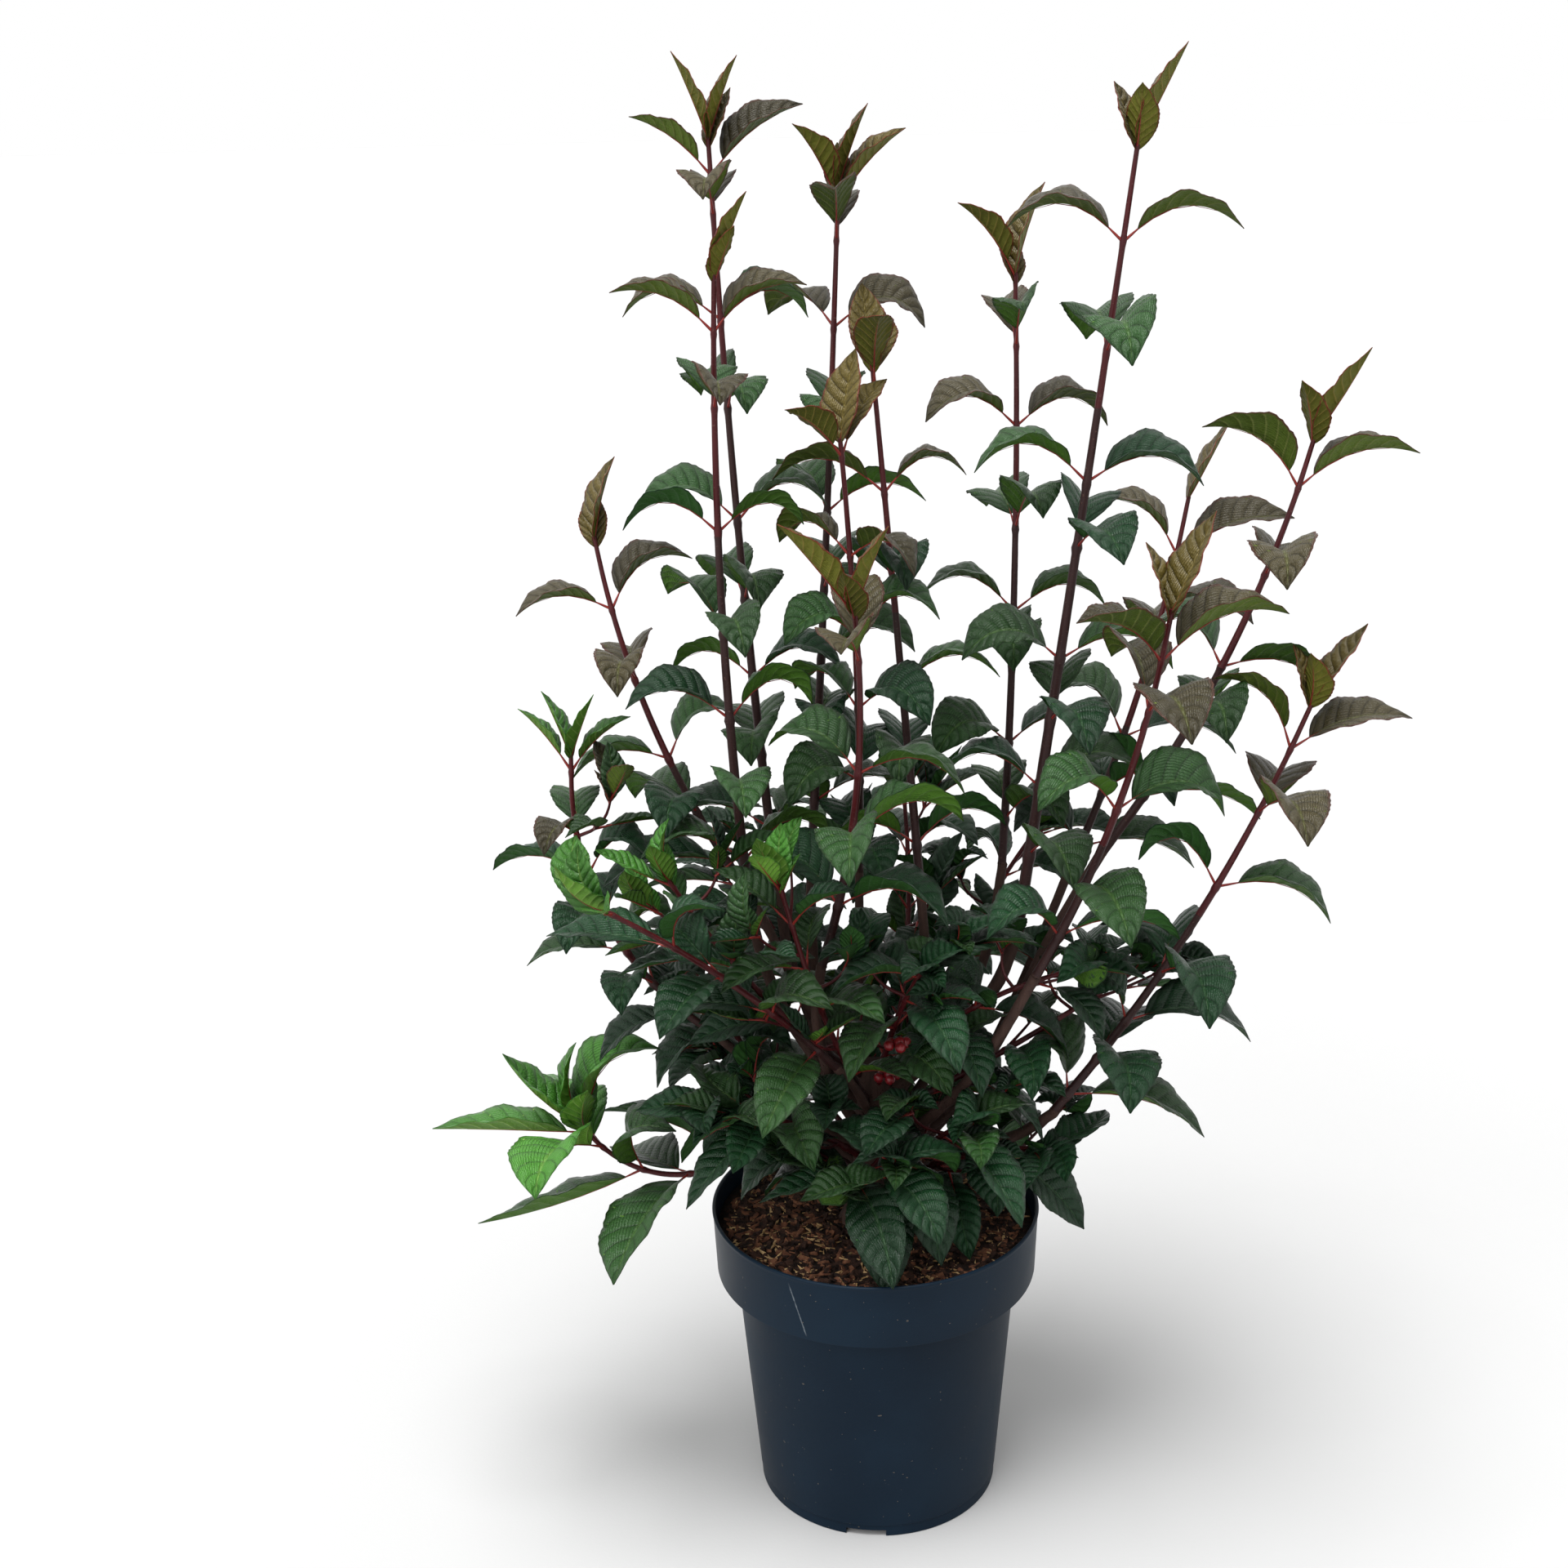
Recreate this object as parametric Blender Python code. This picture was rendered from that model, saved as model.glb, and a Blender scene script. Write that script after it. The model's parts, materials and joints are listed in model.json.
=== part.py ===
"""A potted winter viburnum: an upright shrub 1.2 m tall with its round nursery pot.

Metres. The origin is the middle of the pot's flat underside, +X is to the right of the viewer,
-Y is towards the viewer and +Z is up. The shrub stands on one short main stem. Each tall shoot is a
bough, bare and tapering, and a mass, the leafy length above it. Low masses grow from the main stem.
"""

import itertools
import math
import random
from typing import NamedTuple

import bmesh
import bpy
from mathutils import Matrix, Vector
from mathutils.bvhtree import BVHTree

CM = 0.01
CLEAR = 0.0003
UP = Vector((0.0, 0.0, 1.0))

# Pot
POT_HEIGHT = 0.265
RIM_RADIUS = 0.140
COLLAR_HEIGHT = 0.058
COLLAR_FOOT_RADIUS = 0.137
BODY_TOP_RADIUS = 0.1205
FOOT_RADIUS = 0.1033
FOOT_BAND = 0.010
WALL = 0.0025
PAD_RADIUS = 0.032
RING_WIDTH = 0.007
BASE_LIFT = 0.005
FLOOR = 0.011
TURN_STEPS = 30
NOTCHES = 3
NOTCH_WIDTH = 0.034
NOTCH_HEIGHT = 0.006
NOTCH_TURN = -96.0
DRAIN_RADIUS = 0.005
DRAIN_CIRCLE = 0.062

# Mulch
MULCH_TOP = 0.249
MULCH_RISE = 0.004
MULCH_WAVE = 0.0015

# Main stem
STEM_TOP = 0.395
STEM_RADIUS = 0.019
FLARE_RADIUS = 0.032
STEM_SIDES = 10

# Shoots and twigs
BOUGH_SIDES = 6
SHOOT_SIDES = 4
TWIG_SIDES = 3
BOUGH_RINGS = 6
BOUGH_FLARE = 1.2
TIP_RADIUS = 0.0019
TWIG_RADIUS = 0.0016
BOUGH_HEIGHT = 0.335
BOUGH_END = 0.005
STEM_MARGIN = 0.010
ROOM = 0.0010
LIFTS = (0, 1, -1, 2, -2, 3, -3, 4, -4, 5, -5, 6, -6, 7, -7)
SWINGS = (0, 15, -15, 30, -30, 45, -45, 60, -60, 80, -80)
CLIMBS = (1.0, 0.4, 2.0)
LIFT = 0.008

# Leaves
LEAF_WIDTH = 0.50  # of its blade's length
LEAF_FOLD = (22, 45)  # degrees that each half stands up from flat
LEAF_THICK = 0.018
TUFT_RINGS = ((0.4, 1.05),)
LEAF_RINGS = ((0.20, 0.95), (0.58, 0.95))  # where along the blade, and what share of its full width
TUFT = ((0.72, 17, -65), (0.5, 22, -62))  # share of a full leaf, rise and droop, innermost pair first
PETIOLE = 0.014
ROOT_SINK = 0.0006
LEAF_RISE = 48.0
TRIES = (0, 22, -22, 44, -44)
HAIRS = (4e-5, 2e-5, 1e-5, 5e-6)
KEPT_SHARE = 0.85  # of the volumes that a union is made of

# Fruit
FRUIT_RADIUS = 0.006


class Shoot(NamedTuple):
    """One leafy shoot. Lengths are centimetres and turns are degrees about the shoot.

    foot, bend and tip are the places it runs through, gaps are the lengths from each pair of leaves
    down to the next, the last of which repeats, turn is the bearing of the topmost pair, grown is how
    far below the tip the leaves are full-grown, and hang is how much more the tuft droops.
    """

    name: str
    foot: tuple
    bend: tuple
    tip: tuple
    thick: float
    gaps: tuple
    turn: float
    leaf: float = 9.5
    droop: float = 50.0
    twigs: int = 0
    fruit: float = 0.0
    trunk: bool = False
    grown: float = 7.5
    hang: float = 0.0


SHOOTS = (
    Shoot("tall_left_back", (-8, 6, 53), (-10.5, 8, 84), (-12, 10, 114), 0.42, (3, 3, 8, 7, 9, 6.5), 10),
    Shoot("tall_left_front", (-10, -2, 56), (-11.3, -2.5, 80), (-11, -3, 105), 0.42, (4.6, 5.6, 9.4, 8, 7, 6), 5),
    Shoot("tall_middle_back", (-5, 7, 56), (-3.4, 10, 82), (-2, 13, 110), 0.4, (1.5, 2.8, 6.8, 7.4, 7.4, 6.3, 6), 0),
    Shoot("middle_right", (4, 2, 55), (2.2, 4, 77), (0.5, 6, 97), 0.38, (2.1, 8.2, 7.3, 8.2, 6.7), 90),
    Shoot("middle_back", (-1, 5, 55), (-1, 2, 74), (-2, 0, 92), 0.34, (1.5, 8, 6.5), 45),
    Shoot("middle_front", (-4, -6, 51), (-1, -9, 67), (-1, -12, 81.5), 0.4, (0.5, 3.7, 9.5, 6, 6), -15, 10.5),
    Shoot("tall_right_back", (11, 6, 55), (12, 9, 80), (12, 12, 103), 0.38, (0.5, 5.3, 6.3, 8.2, 6.8, 4.5, 6.5), 10, 10.0),
    Shoot("tallest_right", (12, 0, 52), (16.1, 0, 83), (20, 0, 113.5), 0.5, (7.5, 8, 9.9, 5.1, 9, 5, 5.7), 0, 10.5),
    Shoot("leaning_right", (19, 3, 57), (29, 4, 74), (35, 5, 91), 0.42, (4.5, 7.2, 8.1, 5.2, 7), -10, 10.5),
    Shoot("right_back", (17, 8, 54), (23, 12, 69), (27, 16, 84), 0.36, (5, 7, 9, 5), 0, 10.5),
    Shoot("right_front", (13, -6, 50), (19, -9, 66), (22, -11, 81), 0.4, (4.2, 4, 8.5, 7, 5), 20, 11.5),
    Shoot("low_right", (15, -2, 36), (27, -1, 54), (35, 0, 71), 0.42, (4.6, 5.6, 7, 8.5, 5, 4), 0, 11.0),
    Shoot("left", (-11, 3, 55), (-18, 4, 69), (-22, 6, 83.5), 0.36, (6.1, 6, 7.1, 5), 15),
    Shoot("low_left", (-13, 0, 42), (-21, 0, 51), (-24, 0, 67), 0.36, (1.5, 5.5, 3.5, 4, 3.5), -5, 7.8, 50, 1),
    Shoot("front_left", (-3, -6, 42), (-12, -12, 53), (-20, -16, 60), 0.34, (1, 6, 5, 6), 80, 9.5, 30),
    Shoot("rim_left", (-9, 0, 32), (-19.5, -1, 30), (-25, -1, 34.5), 0.3, (1.2, 1.8, 4, 4), 0, 12.5, 12, grown=1.5),
    Shoot("low_front", (0, -2, 29), (-1, -5, 32), (-3, -8, 33), 0.3, (0.5, 1.5, 2), 0, 10.5, 55, 0, 0, True, 2, 85),
    Shoot("low_front_left", (-1, -1, 31), (-5, -4, 36), (-10, -6, 38), 0.3, (1, 3, 3), 65, 10.0, 60, 0, 0, True, 2, 85),
    Shoot("low_front_right", (1, -1, 31), (4, -4, 36), (8, -7, 38), 0.3, (1, 3, 3), 30, 10.0, 60, 0, 0, True, 2, 85),
    Shoot("rim_right", (1, 0, 29), (8, -1, 33), (14, -3, 33), 0.3, (1, 3, 3), 75, 9.0, 60, 0, 0, True, 2, 85),
    Shoot("centre_front", (0, -1, 33), (2, -5, 42), (4, -9, 52), 0.3, (1.5, 3.5, 4), 40, 9.0, 55, 0, 0.5, True, 2, 85),
    Shoot("centre_right", (1, -1, 34), (8, -4, 42), (16, -5, 50), 0.3, (1, 4, 4), 10, 9.0, 55, 1, 0, True, 2, 85),
    Shoot("bush_left", (-1, 0, 33), (-8, 3, 40), (-16, 5, 48), 0.3, (1, 4, 4), 20, 9.0, 55, 1, 0, True, 2, 85),
    Shoot("bush_right", (1, 1, 33), (12, 4, 40.5), (22, 2, 47), 0.3, (1, 4, 4), 0, 9.0, 55, 1, 0, True, 2, 85),
    Shoot("young_left", (-1, -1, 35), (-9, -5, 45), (-16, -7, 59), 0.28, (1, 3, 4.5), 20, 7.5, 25, 0, 0, True),
    Shoot("young_front", (0, -1, 35), (-5, -7, 47), (-7, -11, 60), 0.28, (1, 3, 4.5), 60, 7.5, 25, 0, 0, True),
    Shoot("back_left", (-1, 1, 32), (-6, 10, 42), (-12, 17, 54), 0.32, (1, 4.5, 4.5), 30, 9.0, 55, 0, 0, True, 2, 85),
    Shoot("back_middle", (0, 1, 32), (3, 13, 42), (3, 20, 57), 0.32, (1, 5, 5), 35, 9.5, 55, 0, 0, True),
    Shoot("back_right", (1, 1, 32), (9, 10, 42), (15, 18, 54), 0.32, (1, 4.5, 4.5), 60, 9.0, 55, 0, 0, True, 2, 85),
    Shoot("low_back", (0, 1, 29), (1, 9, 34), (1, 16, 36), 0.3, (1, 3, 3), 35, 9.0, 60, 0, 0, True, 2, 85),
    Shoot("low_left_back", (-1, 0, 29), (-7, 6, 34), (-13, 10, 36), 0.3, (1, 3, 3), 40, 9.0, 60, 0, 0, True, 2, 85),
)


def plain_material(name, colour, roughness):
    """A Principled material in one colour."""
    material = bpy.data.materials.new(name)
    material.use_nodes = True
    shader = material.node_tree.nodes["Principled BSDF"]
    shader.inputs["Base Color"].default_value = (*colour, 1.0)
    shader.inputs["Roughness"].default_value = roughness
    shader.inputs["Metallic"].default_value = 0.0
    return material


def clear_scene():
    """Empties the scene of every object."""
    for obj in list(bpy.data.objects):
        bpy.data.objects.remove(obj, do_unlink=True)


def new_object(name, bm, material=None, collection=None):
    """Turns a bmesh into a named object with its faces pointing out."""
    bmesh.ops.recalc_face_normals(bm, faces=bm.faces)
    mesh = bpy.data.meshes.new(name)
    bm.to_mesh(mesh)
    bm.free()
    obj = bpy.data.objects.new(name, mesh)
    if material:
        mesh.materials.append(material)
    (collection or bpy.context.scene.collection).objects.link(obj)
    return obj


def solid(name, points, faces, material=None, collection=None):
    """An object from points and faces."""
    bm = bmesh.new()
    corners = [bm.verts.new(point) for point in points]
    for face in faces:
        bm.faces.new([corners[i] for i in face])
    return new_object(name, bm, material, collection)


def combine(target, others, operation, solver="EXACT"):
    """One Boolean of target with all of others, applied, after which the others are removed."""
    group = bpy.data.collections.new(target.name + "_others")
    bpy.context.scene.collection.children.link(group)
    for other in others:
        for home in list(other.users_collection):
            home.objects.unlink(other)
        group.objects.link(other)
    cut = target.modifiers.new("Combine", "BOOLEAN")
    cut.operation = operation
    cut.operand_type = "COLLECTION"
    cut.collection = group
    cut.solver = solver
    bpy.context.view_layer.update()
    evaluated = target.evaluated_get(bpy.context.evaluated_depsgraph_get())
    result = bpy.data.meshes.new_from_object(evaluated)
    target.modifiers.remove(cut)
    target.data = result
    for other in others:
        bpy.data.objects.remove(other, do_unlink=True)
    bpy.data.collections.remove(group)


def keep_largest_body(obj):
    """Drops loose scraps and sealed hollows: only the body with the most room inside stays."""
    if not obj.data.polygons:
        return
    bm = bmesh.new()
    bm.from_mesh(obj.data)
    bodies = []
    unseen = set(bm.faces)
    while unseen:
        body = []
        front = [unseen.pop()]
        while front:
            face = front.pop()
            body.append(face)
            for edge in face.edges:
                near = [other for other in edge.link_faces if other in unseen]
                unseen.difference_update(near)
                front.extend(near)
        bodies.append(body)
    size = [sum(volume_under(face) for face in body) for body in bodies]
    best = size.index(max(size))
    scraps = [face for i, body in enumerate(bodies) if i != best for face in body]
    bmesh.ops.delete(bm, geom=scraps, context="FACES")
    bmesh.ops.triangulate(bm, faces=bm.faces)
    bm.to_mesh(obj.data)
    bm.free()


def volume_under(face):
    """The signed volume between a face and the origin."""
    first = face.verts[0].co
    pairs = zip(face.verts[1:], face.verts[2:])
    return sum(first.dot(a.co.cross(b.co)) for a, b in pairs) / 6


def room_inside(obj):
    """The volume of an object's mesh."""
    bm = bmesh.new()
    bm.from_mesh(obj.data)
    volume = sum(volume_under(face) for face in bm.faces)
    bm.free()
    return volume


def clear_slivers(obj):
    """Merges corners nearer than a hair, at the widest hair that leaves the mesh closed and its volume as it was."""
    before, volume = obj.data.copy(), room_inside(obj)
    for hair in HAIRS:
        bm = bmesh.new()
        bm.from_mesh(before)
        bmesh.ops.remove_doubles(bm, verts=bm.verts, dist=hair)
        bmesh.ops.dissolve_degenerate(bm, edges=bm.edges, dist=hair)
        bmesh.ops.triangulate(bm, faces=bm.faces)
        bm.to_mesh(obj.data)
        bm.free()
        if is_closed(obj) and abs(room_inside(obj) - volume) < 0.01 * volume:
            return
    obj.data = before


def turned(name, outline, material):
    """A solid turned about the Z axis, from (radius, height) points that start and end on it."""
    bm = bmesh.new()
    corners = [bm.verts.new((radius, 0, height)) for radius, height in outline]
    edges = [bm.edges.new(pair) for pair in zip(corners, corners[1:])]
    bmesh.ops.spin(
        bm,
        geom=corners + edges,
        axis=UP,
        cent=(0, 0, 0),
        angle=math.tau,
        steps=TURN_STEPS,
        use_merge=True,
    )
    bmesh.ops.remove_doubles(bm, verts=bm.verts, dist=1e-6)
    return new_object(name, bm, material)


def box_at(name, size, place, turn):
    """A box of a given size, with its middle out at place and turned about the pot's axis."""
    bm = bmesh.new()
    bmesh.ops.create_cube(bm, size=1.0)
    bmesh.ops.scale(bm, vec=size, verts=bm.verts)
    bmesh.ops.translate(bm, vec=place, verts=bm.verts)
    bmesh.ops.rotate(bm, cent=(0, 0, 0), matrix=Matrix.Rotation(turn, 3, "Z"), verts=bm.verts)
    return new_object(name, bm)


def drain(name, turn):
    """A round cutter for one drainage hole."""
    bm = bmesh.new()
    bmesh.ops.create_cone(
        bm, cap_ends=True, segments=8, radius1=DRAIN_RADIUS, radius2=DRAIN_RADIUS, depth=2 * FLOOR
    )
    place = Vector((DRAIN_CIRCLE * math.cos(turn), DRAIN_CIRCLE * math.sin(turn), FLOOR / 2))
    bmesh.ops.translate(bm, vec=place, verts=bm.verts)
    return new_object(name, bm)


def body_radius(height):
    """The outer radius of the tapering body at a height."""
    share = (height - FOOT_BAND) / (POT_HEIGHT - COLLAR_HEIGHT - FOOT_BAND)
    return FOOT_RADIUS + 0.0008 + share * (BODY_TOP_RADIUS - FOOT_RADIUS - 0.0008)


def make_pot(material):
    """The pot: foot ring and pad, tapering body, and a wide collar with a rolled lip."""
    collar_foot = POT_HEIGHT - COLLAR_HEIGHT
    lip = POT_HEIGHT - 0.0018
    outline = (
        (0.0, 0.0),
        (PAD_RADIUS, 0.0),
        (PAD_RADIUS + 0.001, BASE_LIFT),
        (FOOT_RADIUS - RING_WIDTH - 0.001, BASE_LIFT),
        (FOOT_RADIUS - RING_WIDTH, 0.0),
        (FOOT_RADIUS, 0.0),
        (FOOT_RADIUS, FOOT_BAND),
        (body_radius(FOOT_BAND), FOOT_BAND + 0.0008),
        (body_radius(collar_foot), collar_foot - 0.0015),
        (COLLAR_FOOT_RADIUS - 0.0015, collar_foot),
        (COLLAR_FOOT_RADIUS, collar_foot + 0.0015),
        (RIM_RADIUS - 0.0007, lip - 0.001),
        (RIM_RADIUS, lip),
        (RIM_RADIUS - 0.0007, POT_HEIGHT),
        (RIM_RADIUS - WALL - 0.0003, POT_HEIGHT),
        (COLLAR_FOOT_RADIUS - WALL, collar_foot + WALL + 0.001),
        (body_radius(collar_foot) - WALL, collar_foot + 0.001),
        (body_radius(FLOOR) - WALL - 0.002, FLOOR),
        (0.0, FLOOR),
    )
    pot = turned("pot", outline, material)
    cutters = []
    for number in range(NOTCHES):
        turn = math.radians(NOTCH_TURN) + number * math.tau / NOTCHES
        size = (3 * RING_WIDTH, NOTCH_WIDTH, 2 * NOTCH_HEIGHT)
        cutters.append(box_at(f"notch_{number}", size, (FOOT_RADIUS, 0, 0), turn))
        cutters.append(drain(f"drain_{number}", turn))
    combine(pot, cutters, "DIFFERENCE")
    return pot


def make_mulch(material):
    """The potting mix that fills the pot, with a low uneven dome of bark mulch on top."""
    collar_foot = POT_HEIGHT - COLLAR_HEIGHT
    inner = COLLAR_FOOT_RADIUS - WALL + 0.0012
    outline = (
        (0.0, FLOOR + CLEAR),
        (body_radius(FLOOR) - WALL - 0.004, FLOOR + CLEAR),
        (body_radius(collar_foot) - WALL - 0.001, collar_foot - 0.0005),
        (body_radius(collar_foot) - WALL - 0.001, collar_foot + WALL + 0.002),
        (inner - 0.003, collar_foot + WALL + 0.002),
        (inner, MULCH_TOP - MULCH_RISE),
        (0.72 * inner, MULCH_TOP - 0.5 * MULCH_RISE),
        (0.36 * inner, MULCH_TOP),
        (0.0, MULCH_TOP),
    )
    mulch = turned("mulch", outline, material)
    for corner in mulch.data.vertices:
        x, y, z = corner.co
        far = math.hypot(x, y)
        if z > MULCH_TOP - MULCH_RISE - 1e-4 and far > 0.5 * inner:
            corner.co.z += MULCH_WAVE * math.sin(70 * x + 2) * math.cos(85 * y)
    return mulch


def make_main_stem(material):
    """The short main stem, flared at the mulch and flat cut at its foot."""
    foot = MULCH_TOP + CLEAR
    rise = STEM_TOP - foot
    rings = (
        (0.0, FLARE_RADIUS),
        (0.08, 0.5 * (FLARE_RADIUS + STEM_RADIUS)),
        (0.22, 1.08 * STEM_RADIUS),
        (0.6, 0.95 * STEM_RADIUS),
        (1.0, 0.78 * STEM_RADIUS),
    )
    path = [Vector((0, 0, foot + share * rise)) for share, _ in rings]
    radii = [radius for _, radius in rings]
    points, faces = tube(path, radii, STEM_SIDES)
    return points, faces, solid("main_stem", points, faces, material)


def tube(path, radii, sides):
    """Points and faces of a closed tube that follows a path and tapers by the radii."""
    steps = [b - a for a, b in zip(path, path[1:])]
    ways = [steps[0]] + [a.normalized() + b.normalized() for a, b in zip(steps, steps[1:])]
    ways.append(steps[-1])
    side = ways[0].cross(Vector((0.3, 1.0, 0.2))).normalized()
    points = []
    for place, way, radius in zip(path, ways, radii):
        way = way.normalized()
        side = (side - way * side.dot(way)).normalized()
        other = way.cross(side)
        for corner in range(sides):
            turn = math.tau * corner / sides
            points.append(place + radius * (math.cos(turn) * side + math.sin(turn) * other))
    faces = [tuple(range(sides))[::-1]]
    for ring in range(len(path) - 1):
        low = ring * sides
        for corner in range(sides):
            after = (corner + 1) % sides
            faces.append((low + corner, low + after, low + sides + after, low + sides + corner))
    last = (len(path) - 1) * sides
    faces.append(tuple(range(last, last + sides)))
    return points, faces


def arc_through(foot, bend, tip, count):
    """Points along the smooth arc through three places."""
    middle = (bend - foot).length / ((bend - foot).length + (tip - bend).length)
    points = []
    for number in range(count):
        t = number / (count - 1)
        points.append(
            foot * ((t - middle) * (t - 1) / middle)
            + bend * (t * (t - 1) / (middle * (middle - 1)))
            + tip * (t * (t - middle) / (1 - middle))
        )
    return points


def sweep_between(start, way_out, end, way_in, count):
    """Points along the smooth curve that leaves start by one way and comes into end by another."""
    reach = (end - start).length
    points = []
    for number in range(count):
        t = number / (count - 1)
        points.append(
            start * (2 * t**3 - 3 * t**2 + 1)
            + way_out * (reach * (t**3 - 2 * t**2 + t))
            + end * (3 * t**2 - 2 * t**3)
            + way_in * (reach * (t**3 - t**2))
        )
    return points


class Axis:
    """The line of a stem, read at any distance below its tip."""

    def __init__(self, path, thick, thin):
        self.path = path
        self.thick = thick
        self.thin = thin
        self.marks = [0.0]
        for a, b in zip(path[::-1], path[-2::-1]):
            self.marks.append(self.marks[-1] + (a - b).length)
        self.length = self.marks[-1]

    def radius(self, below):
        """The stem's radius at a distance below the tip."""
        return self.thin + (self.thick - self.thin) * below / self.length

    def radii(self):
        """The radius at each point of the path."""
        return [self.radius(mark) for mark in self.marks[::-1]]

    def at(self, below):
        """The place and the way, tipwards, at a distance below the tip."""
        points = self.path[::-1]
        for number in range(len(points) - 1):
            if below <= self.marks[number + 1] or number == len(points) - 2:
                span = self.marks[number + 1] - self.marks[number]
                share = (below - self.marks[number]) / span
                place = points[number].lerp(points[number + 1], share)
                return place, (points[number] - points[number + 1]).normalized()


class Leaf(NamedTuple):
    """A leaf: where it is rooted, the ways its blade starts and ends, and its sizes."""

    root: Vector
    start: Vector
    end: Vector
    out: Vector
    petiole: float
    blade: float
    roll: float
    fold: float


class Room:
    """What has been placed so far, to keep each new piece clear of it."""

    def __init__(self):
        self.held = []

    def add(self, owner, points, faces):
        """Marks the space of one piece as taken."""
        tree = BVHTree.FromPolygons(points, faces)
        self.held.append((owner, *corners_of(points), tree))

    def is_free(self, points, faces, owned_by=None, others_than=None):
        """True where a piece touches nothing, of one owner or of all but one."""
        low, high = corners_of(points)
        tree = BVHTree.FromPolygons(points, faces)
        for owner, least, most, held in self.held:
            if owned_by is not None and owner != owned_by:
                continue
            if others_than is not None and owner == others_than:
                continue
            if any(low[i] > most[i] or high[i] < least[i] for i in range(3)):
                continue
            if held.overlap(tree):
                return False
        return True


def corners_of(points):
    """The lowest and the highest corner of the box around some points."""
    low = [min(point[i] for point in points) for i in range(3)]
    high = [max(point[i] for point in points) for i in range(3)]
    return low, high


def bearing(degrees):
    """The level way that points at a bearing, from +X towards +Y."""
    turn = math.radians(degrees)
    return Vector((math.cos(turn), math.sin(turn), 0.0))


def aim_leaf(root, way, degrees, rise, droop, sizes, roll, fold):
    """A leaf that leaves its stem at an angle of rise to it and ends at an angle of droop below level."""
    level = bearing(degrees)
    out = (level - way * level.dot(way)).normalized()
    root = root - out * ROOT_SINK
    lean = math.radians(rise)
    drop = math.radians(droop)
    start = way * math.cos(lean) + out * math.sin(lean)
    end = level * math.cos(drop) - UP * math.sin(drop)
    petiole, blade = sizes
    return Leaf(root, start, end, level, petiole, blade, math.radians(roll), math.radians(fold))


def midrib(leaf, share):
    """The place and the way at a share of the blade's length, along one even bend."""
    foot = leaf.root + leaf.start * leaf.petiole
    knee = foot + leaf.start * (0.5 * leaf.blade)
    tip = knee + leaf.end * (0.5 * leaf.blade)
    place = foot * (1 - share) ** 2 + knee * (2 * share * (1 - share)) + tip * share**2
    return place, (leaf.start * (1 - share) + leaf.end * share).normalized()


def leaf_ring(leaf, share, half, thick):
    """Four points round the midrib: one edge, the upper side, the other edge and the underside."""
    place, way = midrib(leaf, share)
    side = leaf.out.cross(UP)
    side = (side - way * side.dot(way)).normalized()
    side.rotate(Matrix.Rotation(leaf.roll, 3, way))
    face = side.cross(way)
    reach = side * (half * math.cos(leaf.fold))
    lift = face * (half * math.sin(leaf.fold))
    return [place + reach + lift, place + face * thick, place - reach + lift, place - face * thick]


def leaf_mesh(leaf, swell=0.0):
    """Points and faces of a closed leaf: stalk, folded blade and tip. swell adds room round it."""
    half = 0.5 * LEAF_WIDTH * leaf.blade + swell
    thick = 0.5 * LEAF_THICK * leaf.blade + swell
    place, way = midrib(leaf, 1.0)
    rings = LEAF_RINGS if leaf.petiole else TUFT_RINGS
    points = [leaf.root]
    for share, width in rings:
        points += leaf_ring(leaf, share, width * half, thick)
    points.append(place + way * swell)
    faces = [(0, 1 + (i + 1) % 4, 1 + i) for i in range(4)]
    if len(rings) == 2:
        for edge, middle in itertools.product((0, 2), (1, 3)):
            faces += [(1 + edge, 1 + middle, 5 + middle), (1 + edge, 5 + middle, 5 + edge)]
    last = len(points) - 1
    faces += [(last - 4 + i, last - 4 + (i + 1) % 4, last) for i in range(4)]
    return points, faces


def pair_places(gaps, length):
    """How far below the tip each pair of leaves stands."""
    places = []
    below = 0.0
    while True:
        below += gaps[min(len(places), len(gaps) - 1)] * CM
        if below > length - 1.5 * CM:
            return places
        places.append(below)


def leaves_on(axis, shoot, gaps, turn, size, droop, chance):
    """The leaves of one stem: a tuft at its tip, then opposite pairs, each turned a quarter from the last."""
    leaves = []
    for level, (share, rise, fall) in enumerate(TUFT):
        root, way = axis.at(0.004 + 0.006 * level)
        for half_turn in (0, 180):
            degrees = turn + 90 * level + half_turn + chance.uniform(-12, 12)
            sizes = (0.0, share * size * chance.uniform(0.9, 1.1))
            rise_now = rise + chance.uniform(-4, 4)
            fold = chance.uniform(22, 40)
            leaves.append(aim_leaf(root, way, degrees, rise_now, fall + shoot.hang, sizes, chance.uniform(-15, 15), fold))
    for number, below in enumerate(pair_places(gaps, axis.length)):
        root, way = axis.at(below)
        age = min(1.0, below / (shoot.grown * CM))
        for half_turn in (0, 180):
            degrees = turn + 90 * number + half_turn + chance.uniform(-14, 14)
            rise = LEAF_RISE - 20 * (1 - age) + chance.uniform(-7, 7)
            fall = (droop + 45) * age - 45 + chance.uniform(-12, 12)
            blade = size * (0.64 + 0.36 * age) * chance.uniform(0.88, 1.08)
            petiole = PETIOLE * chance.uniform(0.8, 1.2) + axis.radius(below)
            roll = chance.uniform(-22, 22)
            fold = chance.uniform(*LEAF_FOLD) * (1.3 - 0.5 * age)
            leaves.append(aim_leaf(root, way, degrees, rise, fall, (petiole, blade), roll, fold))
    return leaves


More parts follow.
